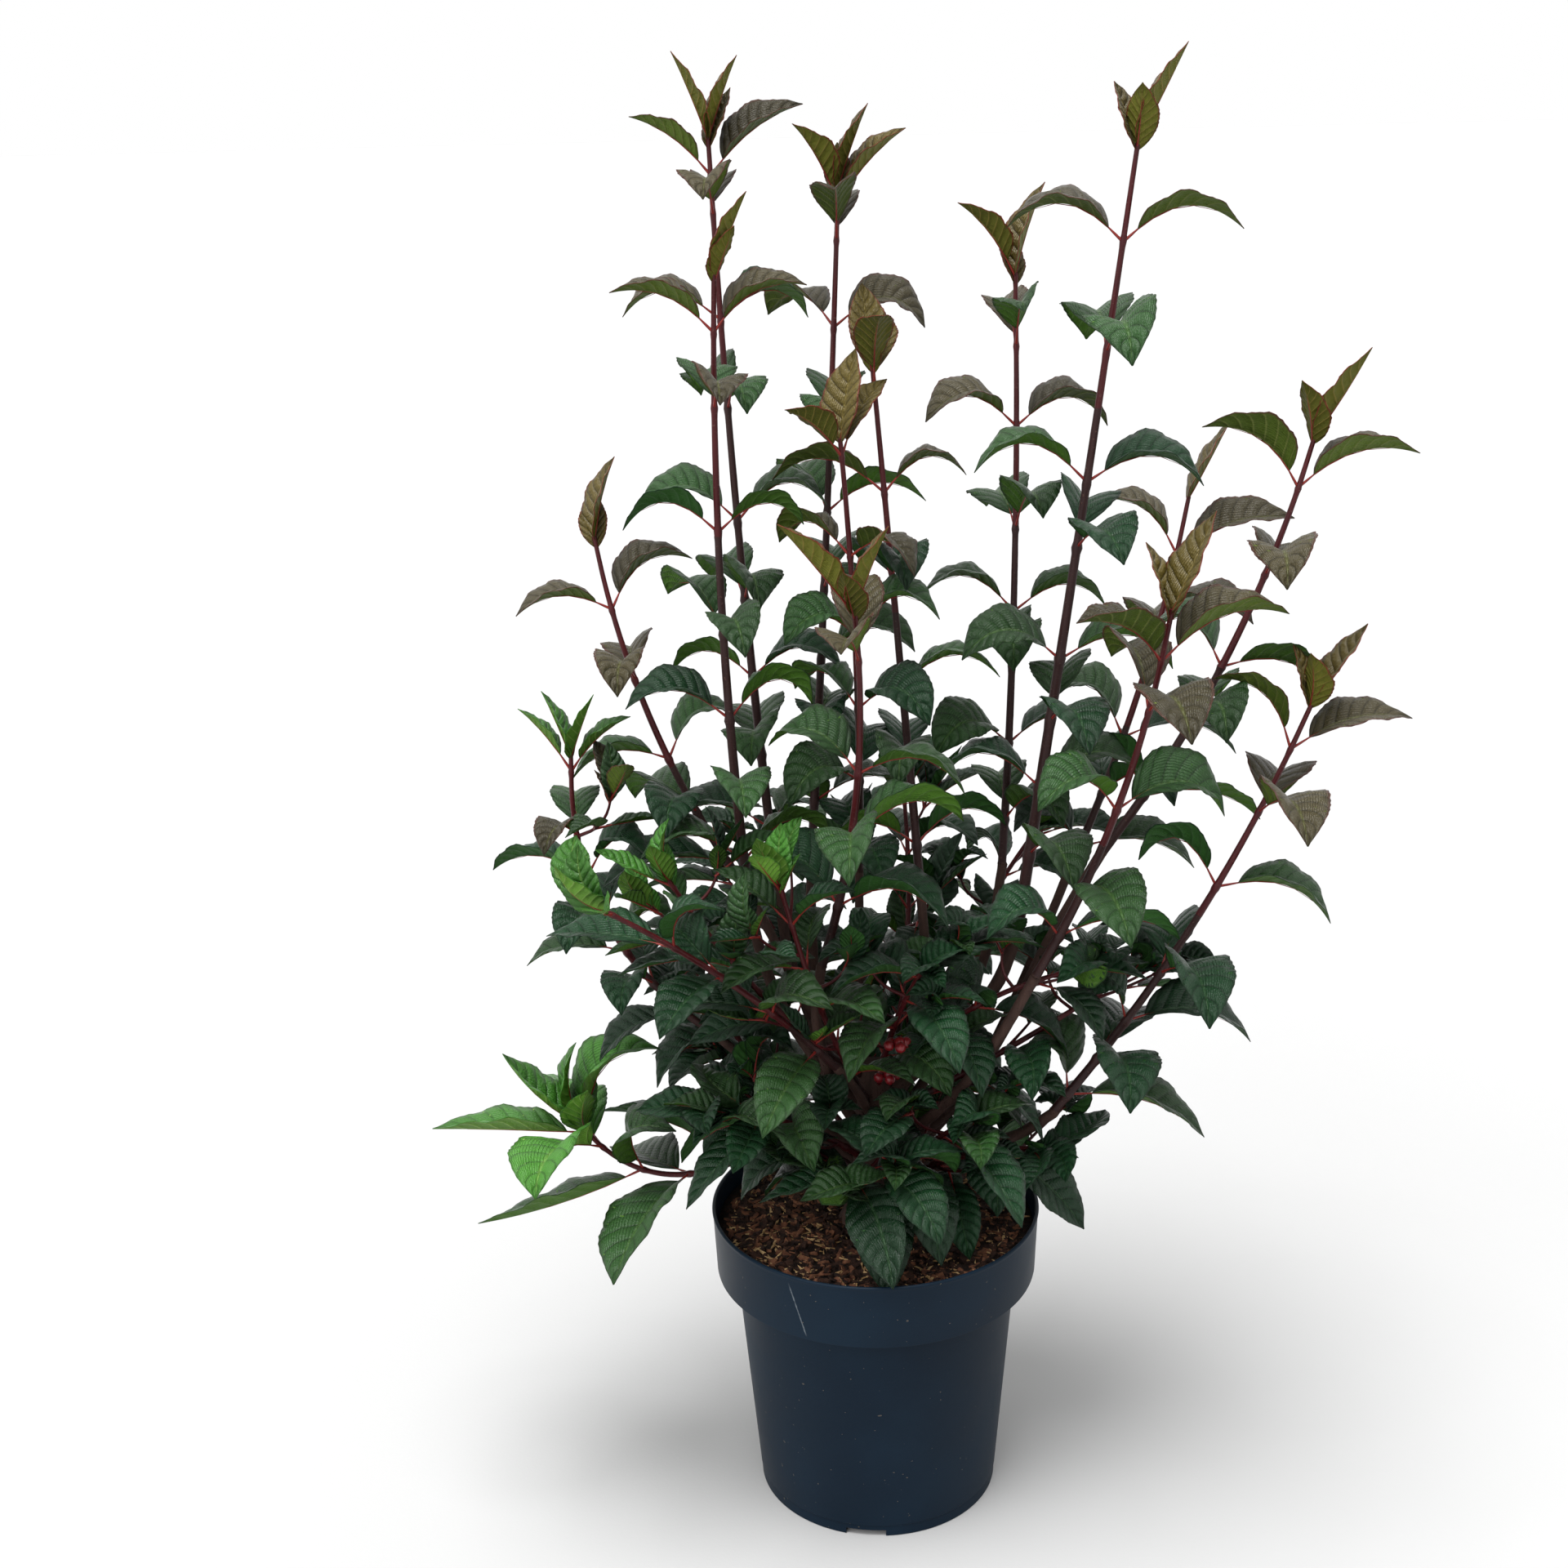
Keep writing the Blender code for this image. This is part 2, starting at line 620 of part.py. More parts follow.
def twigs_on(axis, shoot, chance):
    """Side twigs, one at each of the upper pairs, each on the next side round."""
    twigs = []
    places = pair_places(shoot.gaps, axis.length)[1 : 1 + shoot.twigs]
    for number, below in enumerate(places):
        root, way = axis.at(below)
        level = bearing(shoot.turn + 135 * number + chance.uniform(-25, 25))
        length = (6.5 + 1.2 * number) * CM * chance.uniform(0.85, 1.15)
        middle = root + (way * 0.5 + level * 0.8).normalized() * (0.5 * length)
        tip = middle + (way * 0.8 + level * 0.45).normalized() * (0.5 * length)
        twigs.append(Axis(arc_through(root, middle, tip, 4), TWIG_RADIUS, 0.6 * TWIG_RADIUS))
    return twigs


def turned_leaf(leaf, degrees):
    """The same leaf turned about the upright through its root."""
    spin = Matrix.Rotation(math.radians(degrees), 3, "Z")
    return leaf._replace(start=spin @ leaf.start, end=spin @ leaf.end, out=spin @ leaf.out)


def fit_leaf(leaf, owner, room):
    """The leaf at the first turn where it touches nothing, or None."""
    for degrees in TRIES:
        option = turned_leaf(leaf, degrees)
        points, faces = leaf_mesh(option, ROOM)
        if not room.is_free(points, faces, others_than=owner):
            continue
        if room.is_free(points, faces[4:], owned_by=owner):
            return option
    return None


def limb_start(target, height, swing):
    """A place just inside the main stem, on the side of the target or swung round from it."""
    level = Vector((target.x, target.y, 0.0))
    level.rotate(Matrix.Rotation(math.radians(swing), 3, "Z"))
    return level.normalized() * (0.35 * STEM_RADIUS) + UP * height


def limb_of(shoot, lift, swing, climb):
    """The axis of a shoot's leafy length and the path of its bough, if it has one."""
    foot, bend, tip = (Vector(place) * CM for place in (shoot.foot, shoot.bend, shoot.tip))
    thick = shoot.thick * CM
    if shoot.trunk:
        start = limb_start(bend, foot.z + lift, swing)
        bend.rotate(Matrix.Rotation(math.radians(0.5 * swing), 3, "Z"))
        return Axis(arc_through(start, bend + UP * lift, tip, 8), thick, TIP_RADIUS), None
    axis = Axis(arc_through(foot, bend, tip, 8), thick, TIP_RADIUS)
    way = axis.at(axis.length)[1]
    start = limb_start(foot, BOUGH_HEIGHT + lift, swing)
    level = start - UP * start.z
    way_out = (level.normalized() + UP * climb).normalized()
    curve = sweep_between(start, way_out, foot - way * BOUGH_END, way, BOUGH_RINGS - 1)
    return axis, [*curve, foot - way * CLEAR]


def starts():
    """Each choice of height, swing and climb for a limb's start, the smallest change first."""
    choices = itertools.product(LIFTS, SWINGS, CLIMBS)
    return sorted(choices, key=lambda choice: abs(choice[0]) + abs(choice[1]) / 10 + abs(choice[2] - 1))


def flare_of(thick):
    """The radius at each ring of a bough, from the main stem out."""
    last = BOUGH_RINGS - 1
    return [thick * (BOUGH_FLARE + (1 - BOUGH_FLARE) * i / last) for i in range(BOUGH_RINGS)]


def limb_shapes(axis, bough, swell):
    """The bare limb as closed tubes, made thicker by swell."""
    shapes = [tube(axis.path, [radius + swell for radius in axis.radii()], SHOOT_SIDES)]
    if bough:
        shapes.append(tube(bough, [radius + swell for radius in flare_of(axis.thick)], BOUGH_SIDES))
    return shapes


def route_limbs(room):
    """Finds each shoot a way from the main stem that touches no other limb."""
    routes = []
    for shoot in sorted(SHOOTS, key=lambda shoot: shoot.trunk):
        for lift, swing, climb in starts():
            axis, bough = limb_of(shoot, lift * LIFT, swing, climb)
            shapes = limb_shapes(axis, bough, ROOM)
            height = (bough or axis.path)[0].z
            if not MULCH_TOP + STEM_MARGIN < height < STEM_TOP - STEM_MARGIN:
                continue
            if all(room.is_free(*shape, others_than="main_stem") for shape in shapes):
                break
        else:
            print("no clear way for", shoot.name)
        for shape in shapes:
            room.add(shoot.name, *shape)
        routes.append((shoot, axis, bough))
    return routes


def grow_leaves(routes, room):
    """The twigs and leaves of every shoot, leaving out each one that would touch what is there."""
    grown = []
    for number, (shoot, axis, _) in enumerate(routes):
        chance = random.Random(100 + number)
        leaves = leaves_on(axis, shoot, shoot.gaps, shoot.turn, shoot.leaf * CM, shoot.droop, chance)
        twigs = []
        for twig in twigs_on(axis, shoot, chance):
            more = leaves_on(twig, shoot, (1.0, 3.2, 3.0), chance.uniform(0, 180), 0.85 * shoot.leaf * CM, 50, chance)
            shape = tube(twig.path, [r + ROOM for r in twig.radii()], TWIG_SIDES)
            if room.is_free(*shape, others_than=shoot.name):
                room.add(shoot.name, *shape)
                twigs.append(twig)
                leaves += more
        fitted = []
        for leaf in leaves:
            option = fit_leaf(leaf, shoot.name, room)
            if option:
                room.add(shoot.name, *leaf_mesh(option))
                fitted.append(option)
        grown.append((twigs, fitted))
    return grown


def stem_guard():
    """The main stem with a hair's room all round, to cut the limbs back to."""
    points, faces, guard = make_main_stem(None)
    middle = Vector((0.0, 0.0, 0.5 * (MULCH_TOP + STEM_TOP)))
    for corner in guard.data.vertices:
        level = Vector((corner.co.x, corner.co.y, 0.0))
        way = 1.0 if corner.co.z > middle.z else -1.0
        corner.co += level.normalized() * CLEAR + UP * (way * CLEAR)
    guard.name = "stem_guard"
    return guard


def make_bough(shoot, axis, bough, material):
    """One bare bough, from the main stem to a hair short of its leafy length."""
    points, faces = tube(bough, flare_of(axis.thick), BOUGH_SIDES)
    limb = solid(shoot.name + "_bough", points, faces, material)
    combine(limb, [stem_guard()], "DIFFERENCE")
    keep_largest_body(limb)
    clear_slivers(limb)
    return limb


def berries(axis, share):
    """Points and faces of three berries and their short stalk, hung on the viewer's side of a stem."""
    root, _ = axis.at(share * axis.length)
    end = root + Vector((0.004, -0.020, -0.004))
    shapes = [tube([root, end], [TWIG_RADIUS, TWIG_RADIUS], TWIG_SIDES)]
    for offset in ((0.0, 0.0, 0.002), (0.008, -0.002, -0.004), (-0.007, -0.001, -0.006)):
        bm = bmesh.new()
        bmesh.ops.create_icosphere(bm, subdivisions=1, radius=FRUIT_RADIUS)
        points = [corner.co + end + Vector(offset) for corner in bm.verts]
        shapes.append((points, [tuple(corner.index for corner in face.verts) for face in bm.faces]))
        bm.free()
    return shapes


def make_mass(shoot, axis, twigs, leaves, material):
    """One mass of foliage: its stem with twigs, leaves and berries joined on."""
    name = shoot.name + "_foliage"
    shapes = [tube(twig.path, twig.radii(), TWIG_SIDES) for twig in twigs]
    shapes += [leaf_mesh(leaf) for leaf in leaves]
    if shoot.fruit:
        shapes += berries(axis, shoot.fruit)
    points, faces = tube(axis.path, axis.radii(), SHOOT_SIDES)
    mass = solid(name, points, faces, material)
    if shoot.trunk:
        combine(mass, [stem_guard()], "DIFFERENCE")
    if not join(mass, shapes):
        for shape in shapes:
            if not join(mass, [shape]):
                print(name, "goes without one leaf")
    clear_slivers(mass)


def join(mass, shapes):
    """Fuses closed shapes onto a mass. It leaves the mass as it was where the result is open or has lost a shape."""
    before = mass.data.copy()
    pieces = [solid(f"{mass.name}_{i}", *shape) for i, shape in enumerate(shapes)]
    least = room_inside(mass) + sum(room_inside(piece) for piece in pieces)
    combine(mass, pieces, "UNION")
    keep_largest_body(mass)
    if is_closed(mass) and room_inside(mass) > KEPT_SHARE * least:
        return True
    mass.data = before
    return False


def is_closed(obj):
    """True where each edge of a mesh has two faces."""
    bm = bmesh.new()
    bm.from_mesh(obj.data)
    closed = bool(bm.faces) and all(edge.is_manifold for edge in bm.edges)
    bm.free()
    return closed


def main():
    clear_scene()
    plastic = plain_material("pot_plastic", (0.012, 0.018, 0.028), 0.45)
    bark = plain_material("bark_mulch", (0.09, 0.045, 0.028), 0.95)
    wood = plain_material("stem_bark", (0.10, 0.035, 0.025), 0.7)
    leafage = plain_material("foliage", (0.045, 0.11, 0.03), 0.6)
    room = Room()
    for filled in (make_pot(plastic), make_mulch(bark)):
        corners = [corner.co.copy() for corner in filled.data.vertices]
        room.add(filled.name, corners, [tuple(face.vertices) for face in filled.data.polygons])
    points, faces, _ = make_main_stem(wood)
    room.add("main_stem", points, faces)
    routes = route_limbs(room)
    for (shoot, axis, bough), (twigs, leaves) in zip(routes, grow_leaves(routes, room)):
        if bough:
            make_bough(shoot, axis, bough, wood)
        make_mass(shoot, axis, twigs, leaves, leafage)


if __name__ == "__main__":
    main()
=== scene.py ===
"""Looks of a potted winter viburnum: shoots with pleated leaves, bark mulch and a round nursery pot.

The growing rule is the one that the solids follow, so each leaf here lies where its solid does. Low
shoots carry finer twigs besides. Everything is in metres in the row frame.
"""

import itertools
import json
import logging
import math
import random
from dataclasses import dataclass
from enum import Enum
from typing import Any, NamedTuple, Sequence

import bpy
import numpy as np
from mathutils import Matrix, Vector
from mathutils.bvhtree import BVHTree

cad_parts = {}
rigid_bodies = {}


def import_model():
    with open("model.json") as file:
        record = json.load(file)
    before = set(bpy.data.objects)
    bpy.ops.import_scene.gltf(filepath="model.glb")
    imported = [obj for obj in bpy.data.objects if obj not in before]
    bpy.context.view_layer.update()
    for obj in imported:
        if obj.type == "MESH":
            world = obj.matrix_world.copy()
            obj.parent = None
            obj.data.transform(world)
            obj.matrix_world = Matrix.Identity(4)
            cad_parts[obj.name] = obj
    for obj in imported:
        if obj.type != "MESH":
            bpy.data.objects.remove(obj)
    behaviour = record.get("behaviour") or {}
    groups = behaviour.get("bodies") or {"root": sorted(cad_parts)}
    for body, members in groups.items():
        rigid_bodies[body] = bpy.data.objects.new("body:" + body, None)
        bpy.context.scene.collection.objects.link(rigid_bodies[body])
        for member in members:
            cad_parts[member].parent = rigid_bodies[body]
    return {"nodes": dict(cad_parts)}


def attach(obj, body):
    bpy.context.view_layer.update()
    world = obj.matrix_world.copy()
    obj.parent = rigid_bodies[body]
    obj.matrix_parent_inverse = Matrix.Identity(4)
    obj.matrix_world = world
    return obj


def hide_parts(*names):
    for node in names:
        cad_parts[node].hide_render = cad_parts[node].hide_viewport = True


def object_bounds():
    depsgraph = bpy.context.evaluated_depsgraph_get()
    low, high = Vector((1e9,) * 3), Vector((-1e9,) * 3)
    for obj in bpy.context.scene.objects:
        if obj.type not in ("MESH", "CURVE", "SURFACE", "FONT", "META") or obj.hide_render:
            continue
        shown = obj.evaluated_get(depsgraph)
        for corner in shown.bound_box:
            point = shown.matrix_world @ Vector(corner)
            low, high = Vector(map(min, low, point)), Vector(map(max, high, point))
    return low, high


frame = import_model()
CAD_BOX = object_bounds()

LOG = logging.getLogger("viburnum")
Shape = tuple[list[Vector], list[tuple[int, ...]]]
Triple = tuple[float, float, float]
Colour = Triple

CM = 0.01
CLEAR = 0.0003
UP = Vector((0.0, 0.0, 1.0))

# Pot
POT_HEIGHT = 0.265
RIM_RADIUS = 0.140
COLLAR_HEIGHT = 0.058
COLLAR_FOOT_RADIUS = 0.137
BODY_TOP_RADIUS = 0.1205
FOOT_RADIUS = 0.1033
FOOT_BAND = 0.010
WALL = 0.0025
PAD_RADIUS = 0.032
RING_WIDTH = 0.007
BASE_LIFT = 0.005
FLOOR = 0.011
NOTCHES = 3
NOTCH_WIDTH = 0.034
NOTCH_HEIGHT = 0.006
NOTCH_TURN = -96.0

# Mulch
MULCH_TOP = 0.249

# Main stem
STEM_TOP = 0.395
STEM_RADIUS = 0.019
FLARE_RADIUS = 0.032

# Shoots and twigs
BOUGH_SIDES = 6
SHOOT_SIDES = 4
TWIG_SIDES = 3
BOUGH_RINGS = 6
BOUGH_FLARE = 1.2
TIP_RADIUS = 0.0019
TWIG_RADIUS = 0.0016
BOUGH_HEIGHT = 0.335
BOUGH_END = 0.005
STEM_MARGIN = 0.010
ROOM = 0.0010
TWIG_GAPS = (1.0, 3.2, 3.0)
TWIG_LENGTH = 6.5  # centimetres
TWIG_STEP = 1.2  # centimetres more for each twig further down
TWIG_TURN = 135
FINER_TWIGS = 6
FINER_TURN = 137
FINER_GAPS = (1.4, 2.8, 2.8)
FINER_LENGTH = 0.055
LIFTS = (0, 1, -1, 2, -2, 3, -3, 4, -4, 5, -5, 6, -6, 7, -7)
SWINGS = (0, 15, -15, 30, -30, 45, -45, 60, -60, 80, -80)
CLIMBS = (1.0, 0.4, 2.0)
LIFT = 0.008

# Leaves
LEAF_WIDTH = 0.50  # of its blade's length
LEAF_FOLD = (22, 45)  # degrees that each half stands up from flat
LEAF_THICK = 0.018
TUFT_RINGS = ((0.4, 1.05),)
LEAF_RINGS = ((0.20, 0.95), (0.58, 0.95))  # where along the blade, and what share of its full width
TUFT_FOOT = 0.004
TUFT_STEP = 0.006
TUFT_FOLD = (22, 40)
TUFT = ((0.72, 17, -65), (0.5, 22, -62))  # share of a full leaf, rise and droop, innermost pair first
PETIOLE = 0.014
ROOT_SINK = 0.0006
LEAF_RISE = 48.0
YOUNG_LIFT = 45  # degrees above level at the tip of the youngest paired leaf
LEAF_SEED = 100
FINER_SEED = 900
TRIES = (0, 22, -22, 44, -44)


class Shoot(NamedTuple):
    """One leafy shoot. Lengths are centimetres and turns are degrees about the shoot.

    foot, bend and tip are the places it runs through, gaps are the lengths from each pair of leaves
    down to the next, the last of which repeats, turn is the bearing of the topmost pair, grown is how
    far below the tip the leaves are full-grown, and hang is how much more the tuft droops.
    """

    name: str
    foot: Triple
    bend: Triple
    tip: Triple
    thick: float
    gaps: tuple[float, ...]
    turn: float
    leaf: float = 9.5
    droop: float = 50.0
    twigs: int = 0
    fruit: float = 0.0
    trunk: bool = False
    grown: float = 7.5
    hang: float = 0.0


SHOOTS = (
    Shoot("tall_left_back", (-8, 6, 53), (-10.5, 8, 84), (-12, 10, 114), 0.42, (3, 3, 8, 7, 9, 6.5), 10),
    Shoot(
        "tall_left_front", (-10, -2, 56), (-11.3, -2.5, 80), (-11, -3, 105),
        0.42, (4.6, 5.6, 9.4, 8, 7, 6), 5,
    ),
    Shoot(
        "tall_middle_back", (-5, 7, 56), (-3.4, 10, 82), (-2, 13, 110),
        0.4, (1.5, 2.8, 6.8, 7.4, 7.4, 6.3, 6), 0,
    ),
    Shoot("middle_right", (4, 2, 55), (2.2, 4, 77), (0.5, 6, 97), 0.38, (2.1, 8.2, 7.3, 8.2, 6.7), 90),
    Shoot("middle_back", (-1, 5, 55), (-1, 2, 74), (-2, 0, 92), 0.34, (1.5, 8, 6.5), 45),
    Shoot(
        "middle_front", (-4, -6, 51), (-1, -9, 67), (-1, -12, 81.5),
        0.4, (0.5, 3.7, 9.5, 6, 6), -15, 10.5,
    ),
    Shoot(
        "tall_right_back", (11, 6, 55), (12, 9, 80), (12, 12, 103),
        0.38, (0.5, 5.3, 6.3, 8.2, 6.8, 4.5, 6.5), 10, 10.0,
    ),
    Shoot(
        "tallest_right", (12, 0, 52), (16.1, 0, 83), (20, 0, 113.5),
        0.5, (7.5, 8, 9.9, 5.1, 9, 5, 5.7), 0, 10.5,
    ),
    Shoot("leaning_right", (19, 3, 57), (29, 4, 74), (35, 5, 91), 0.42, (4.5, 7.2, 8.1, 5.2, 7), -10, 10.5),
    Shoot("right_back", (17, 8, 54), (23, 12, 69), (27, 16, 84), 0.36, (5, 7, 9, 5), 0, 10.5),
    Shoot("right_front", (13, -6, 50), (19, -9, 66), (22, -11, 81), 0.4, (4.2, 4, 8.5, 7, 5), 20, 11.5),
    Shoot("low_right", (15, -2, 36), (27, -1, 54), (35, 0, 71), 0.42, (4.6, 5.6, 7, 8.5, 5, 4), 0, 11.0),
    Shoot("left", (-11, 3, 55), (-18, 4, 69), (-22, 6, 83.5), 0.36, (6.1, 6, 7.1, 5), 15),
    Shoot(
        "low_left", (-13, 0, 42), (-21, 0, 51), (-24, 0, 67),
        0.36, (1.5, 5.5, 3.5, 4, 3.5), -5, 7.8, 50, 1,
    ),
    Shoot("front_left", (-3, -6, 42), (-12, -12, 53), (-20, -16, 60), 0.34, (1, 6, 5, 6), 80, 9.5, 30),
    Shoot(
        "rim_left", (-9, 0, 32), (-19.5, -1, 30), (-25, -1, 34.5),
        0.3, (1.2, 1.8, 4, 4), 0, 12.5, 12, grown=1.5,
    ),
    Shoot(
        "low_front", (0, -2, 29), (-1, -5, 32), (-3, -8, 33),
        0.3, (0.5, 1.5, 2), 0, 10.5, 55, 0, 0, True, 2, 85,
    ),
    Shoot(
        "low_front_left", (-1, -1, 31), (-5, -4, 36), (-10, -6, 38),
        0.3, (1, 3, 3), 65, 10.0, 60, 0, 0, True, 2, 85,
    ),
    Shoot(
        "low_front_right", (1, -1, 31), (4, -4, 36), (8, -7, 38),
        0.3, (1, 3, 3), 30, 10.0, 60, 0, 0, True, 2, 85,
    ),
    Shoot(
        "rim_right", (1, 0, 29), (8, -1, 33), (14, -3, 33),
        0.3, (1, 3, 3), 75, 9.0, 60, 0, 0, True, 2, 85,
    ),
    Shoot(
        "centre_front", (0, -1, 33), (2, -5, 42), (4, -9, 52),
        0.3, (1.5, 3.5, 4), 40, 9.0, 55, 0, 0.5, True, 2, 85,
    ),
    Shoot(
        "centre_right", (1, -1, 34), (8, -4, 42), (16, -5, 50),
        0.3, (1, 4, 4), 10, 9.0, 55, 1, 0, True, 2, 85,
    ),
    Shoot(
        "bush_left", (-1, 0, 33), (-8, 3, 40), (-16, 5, 48),
        0.3, (1, 4, 4), 20, 9.0, 55, 1, 0, True, 2, 85,
    ),
    Shoot(
        "bush_right", (1, 1, 33), (12, 4, 40.5), (22, 2, 47),
        0.3, (1, 4, 4), 0, 9.0, 55, 1, 0, True, 2, 85,
    ),
    Shoot(
        "young_left", (-1, -1, 35), (-9, -5, 45), (-16, -7, 59),
        0.28, (1, 3, 4.5), 20, 7.5, 25, 0, 0, True,
    ),
    Shoot(
        "young_front", (0, -1, 35), (-5, -7, 47), (-7, -11, 60),
        0.28, (1, 3, 4.5), 60, 7.5, 25, 0, 0, True,
    ),
    Shoot(
        "back_left", (-1, 1, 32), (-6, 10, 42), (-12, 17, 54),
        0.32, (1, 4.5, 4.5), 30, 9.0, 55, 0, 0, True, 2, 85,
    ),
    Shoot("back_middle", (0, 1, 32), (3, 13, 42), (3, 20, 57), 0.32, (1, 5, 5), 35, 9.5, 55, 0, 0, True),
    Shoot(
        "back_right", (1, 1, 32), (9, 10, 42), (15, 18, 54),
        0.32, (1, 4.5, 4.5), 60, 9.0, 55, 0, 0, True, 2, 85,
    ),
    Shoot("low_back", (0, 1, 29), (1, 9, 34), (1, 16, 36), 0.3, (1, 3, 3), 35, 9.0, 60, 0, 0, True, 2, 85),
    Shoot(
        "low_left_back", (-1, 0, 29), (-7, 6, 34), (-13, 10, 36),
        0.3, (1, 3, 3), 40, 9.0, 60, 0, 0, True, 2, 85,
    ),
)


def body_radius(height: float) -> float:
    """The outer radius of the tapering body at a height."""
    share = (height - FOOT_BAND) / (POT_HEIGHT - COLLAR_HEIGHT - FOOT_BAND)
    return FOOT_RADIUS + 0.0008 + share * (BODY_TOP_RADIUS - FOOT_RADIUS - 0.0008)


def tube(path: Sequence[Vector], radii: Sequence[float], sides: int) -> Shape:
    """A closed tube that follows a path and tapers by the radii.

    Args:
        path: The middle of each ring.
        radii: The radius of each ring.
        sides: The corners of a ring.

    Returns:
        Its points and faces.
    """
    steps = [b - a for a, b in zip(path, path[1:])]
    ways = [steps[0]] + [a.normalized() + b.normalized() for a, b in zip(steps, steps[1:])]
    ways.append(steps[-1])
    side = ways[0].cross(Vector((0.3, 1.0, 0.2))).normalized()
    points = []
    for place, way, radius in zip(path, ways, radii):
        way = way.normalized()
        side = (side - way * side.dot(way)).normalized()
        other = way.cross(side)
        for corner in range(sides):
            turn = math.tau * corner / sides
            points.append(place + radius * (math.cos(turn) * side + math.sin(turn) * other))
    faces = [tuple(range(sides))[::-1]]
    for ring in range(len(path) - 1):
        low = ring * sides
        for corner in range(sides):
            after = (corner + 1) % sides
            faces.append((low + corner, low + after, low + sides + after, low + sides + corner))
    last = (len(path) - 1) * sides
    faces.append(tuple(range(last, last + sides)))
    return points, faces


def arc_through(foot: Vector, bend: Vector, tip: Vector, count: int) -> list[Vector]:
    """The smooth arc through three places.

    Args:
        foot: Its start.
        bend: A place on its way.
        tip: Its end.
        count: How many points to read.

    Returns:
        Points along it.
    """
    middle = (bend - foot).length / ((bend - foot).length + (tip - bend).length)
    points = []
    for number in range(count):
        t = number / (count - 1)
        points.append(
            foot * ((t - middle) * (t - 1) / middle)
            + bend * (t * (t - 1) / (middle * (middle - 1)))
            + tip * (t * (t - middle) / (1 - middle))
        )
    return points


def sweep_between(start: Vector, way_out: Vector, end: Vector, way_in: Vector, count: int) -> list[Vector]:
    """The smooth curve between two places.

    Args:
        start: Its start.
        way_out: Its way at the start.
        end: Its end.
        way_in: Its way at the end.
        count: How many points to read.

    Returns:
        Points along it.
    """
    reach = (end - start).length
    points = []
    for number in range(count):
        t = number / (count - 1)
        points.append(
            start * (2 * t**3 - 3 * t**2 + 1)
            + way_out * (reach * (t**3 - 2 * t**2 + t))
            + end * (3 * t**2 - 2 * t**3)
            + way_in * (reach * (t**3 - t**2))
        )
    return points


class Axis:
    """The line of a stem, read at any distance below its tip."""

    def __init__(self, path: list[Vector], thick: float, thin: float) -> None:
        """Measures the line back from its tip.

        Args:
            path: Its points, from foot to tip.
            thick: The radius at its foot.
            thin: The radius at its tip.
        """
        self.path = path
        self.thick = thick
        self.thin = thin
        self.marks = [0.0]
        for a, b in zip(path[::-1], path[-2::-1]):
            self.marks.append(self.marks[-1] + (a - b).length)
        self.length = self.marks[-1]

    def radius(self, below: float) -> float:
        """The stem's radius at a distance below the tip."""
        return self.thin + (self.thick - self.thin) * below / self.length

    def radii(self) -> list[float]:
        """The radius at each point of the path."""
        return [self.radius(mark) for mark in self.marks[::-1]]

    def at(self, below: float) -> tuple[Vector, Vector]:
        """Reads the line.

        Args:
            below: The distance below the tip.

        Returns:
            The place and the way there, tipwards.
        """
        points = self.path[::-1]
        for number in range(len(points) - 1):
            if below <= self.marks[number + 1] or number == len(points) - 2:
                span = self.marks[number + 1] - self.marks[number]
                share = (below - self.marks[number]) / span
                place = points[number].lerp(points[number + 1], share)
                return place, (points[number] - points[number + 1]).normalized()


class Leaf(NamedTuple):
    """A leaf: where it is rooted, the ways its blade starts and ends, and its sizes."""

    root: Vector
    start: Vector
    end: Vector
    out: Vector
    petiole: float
    blade: float
    roll: float
    fold: float


class Room:
    """What has been placed so far, to keep each new piece clear of it."""

    def __init__(self) -> None:
        """Starts empty."""
        self.held: list[Any] = []

    def add(self, owner: str, points: Sequence[Vector], faces: Sequence[Any]) -> None:
        """Marks the space of one piece as taken."""
        tree = BVHTree.FromPolygons(points, faces)
        self.held.append((owner, *corners_of(points), tree))

    def is_free(
        self,
        points: Sequence[Vector],
        faces: Sequence[Any],
        owned_by: str | None = None,
        others_than: str | None = None,
    ) -> bool:
        """Tests whether a piece touches nothing.

        Args:
            points: Its points.
            faces: Its faces.
            owned_by: The one owner whose pieces count, or None.
            others_than: The one owner whose pieces don't count, or None.

        Returns:
            True where it touches nothing.
        """
        low, high = corners_of(points)
        tree = BVHTree.FromPolygons(points, faces)
        for owner, least, most, held in self.held:
            if owned_by is not None and owner != owned_by:
                continue
            if others_than is not None and owner == others_than:
                continue
            if any(low[i] > most[i] or high[i] < least[i] for i in range(3)):
                continue
            if held.overlap(tree):
                return False
        return True


Route = tuple[Shoot, Axis, list[Vector] | None]
Grown = tuple[list[Axis], list[Leaf]]
Line = tuple[list[Vector], list[float]]


def corners_of(points: Sequence[Vector]) -> tuple[list[float], list[float]]:
    """The box around some points.

    Args:
        points: The points.

    Returns:
        Its lowest and its highest corner.
    """
    low = [min(point[i] for point in points) for i in range(3)]
    high = [max(point[i] for point in points) for i in range(3)]
    return low, high


def bearing(degrees: float) -> Vector:
    """The level way that points at a bearing, from +X towards +Y."""
    turn = math.radians(degrees)
    return Vector((math.cos(turn), math.sin(turn), 0.0))


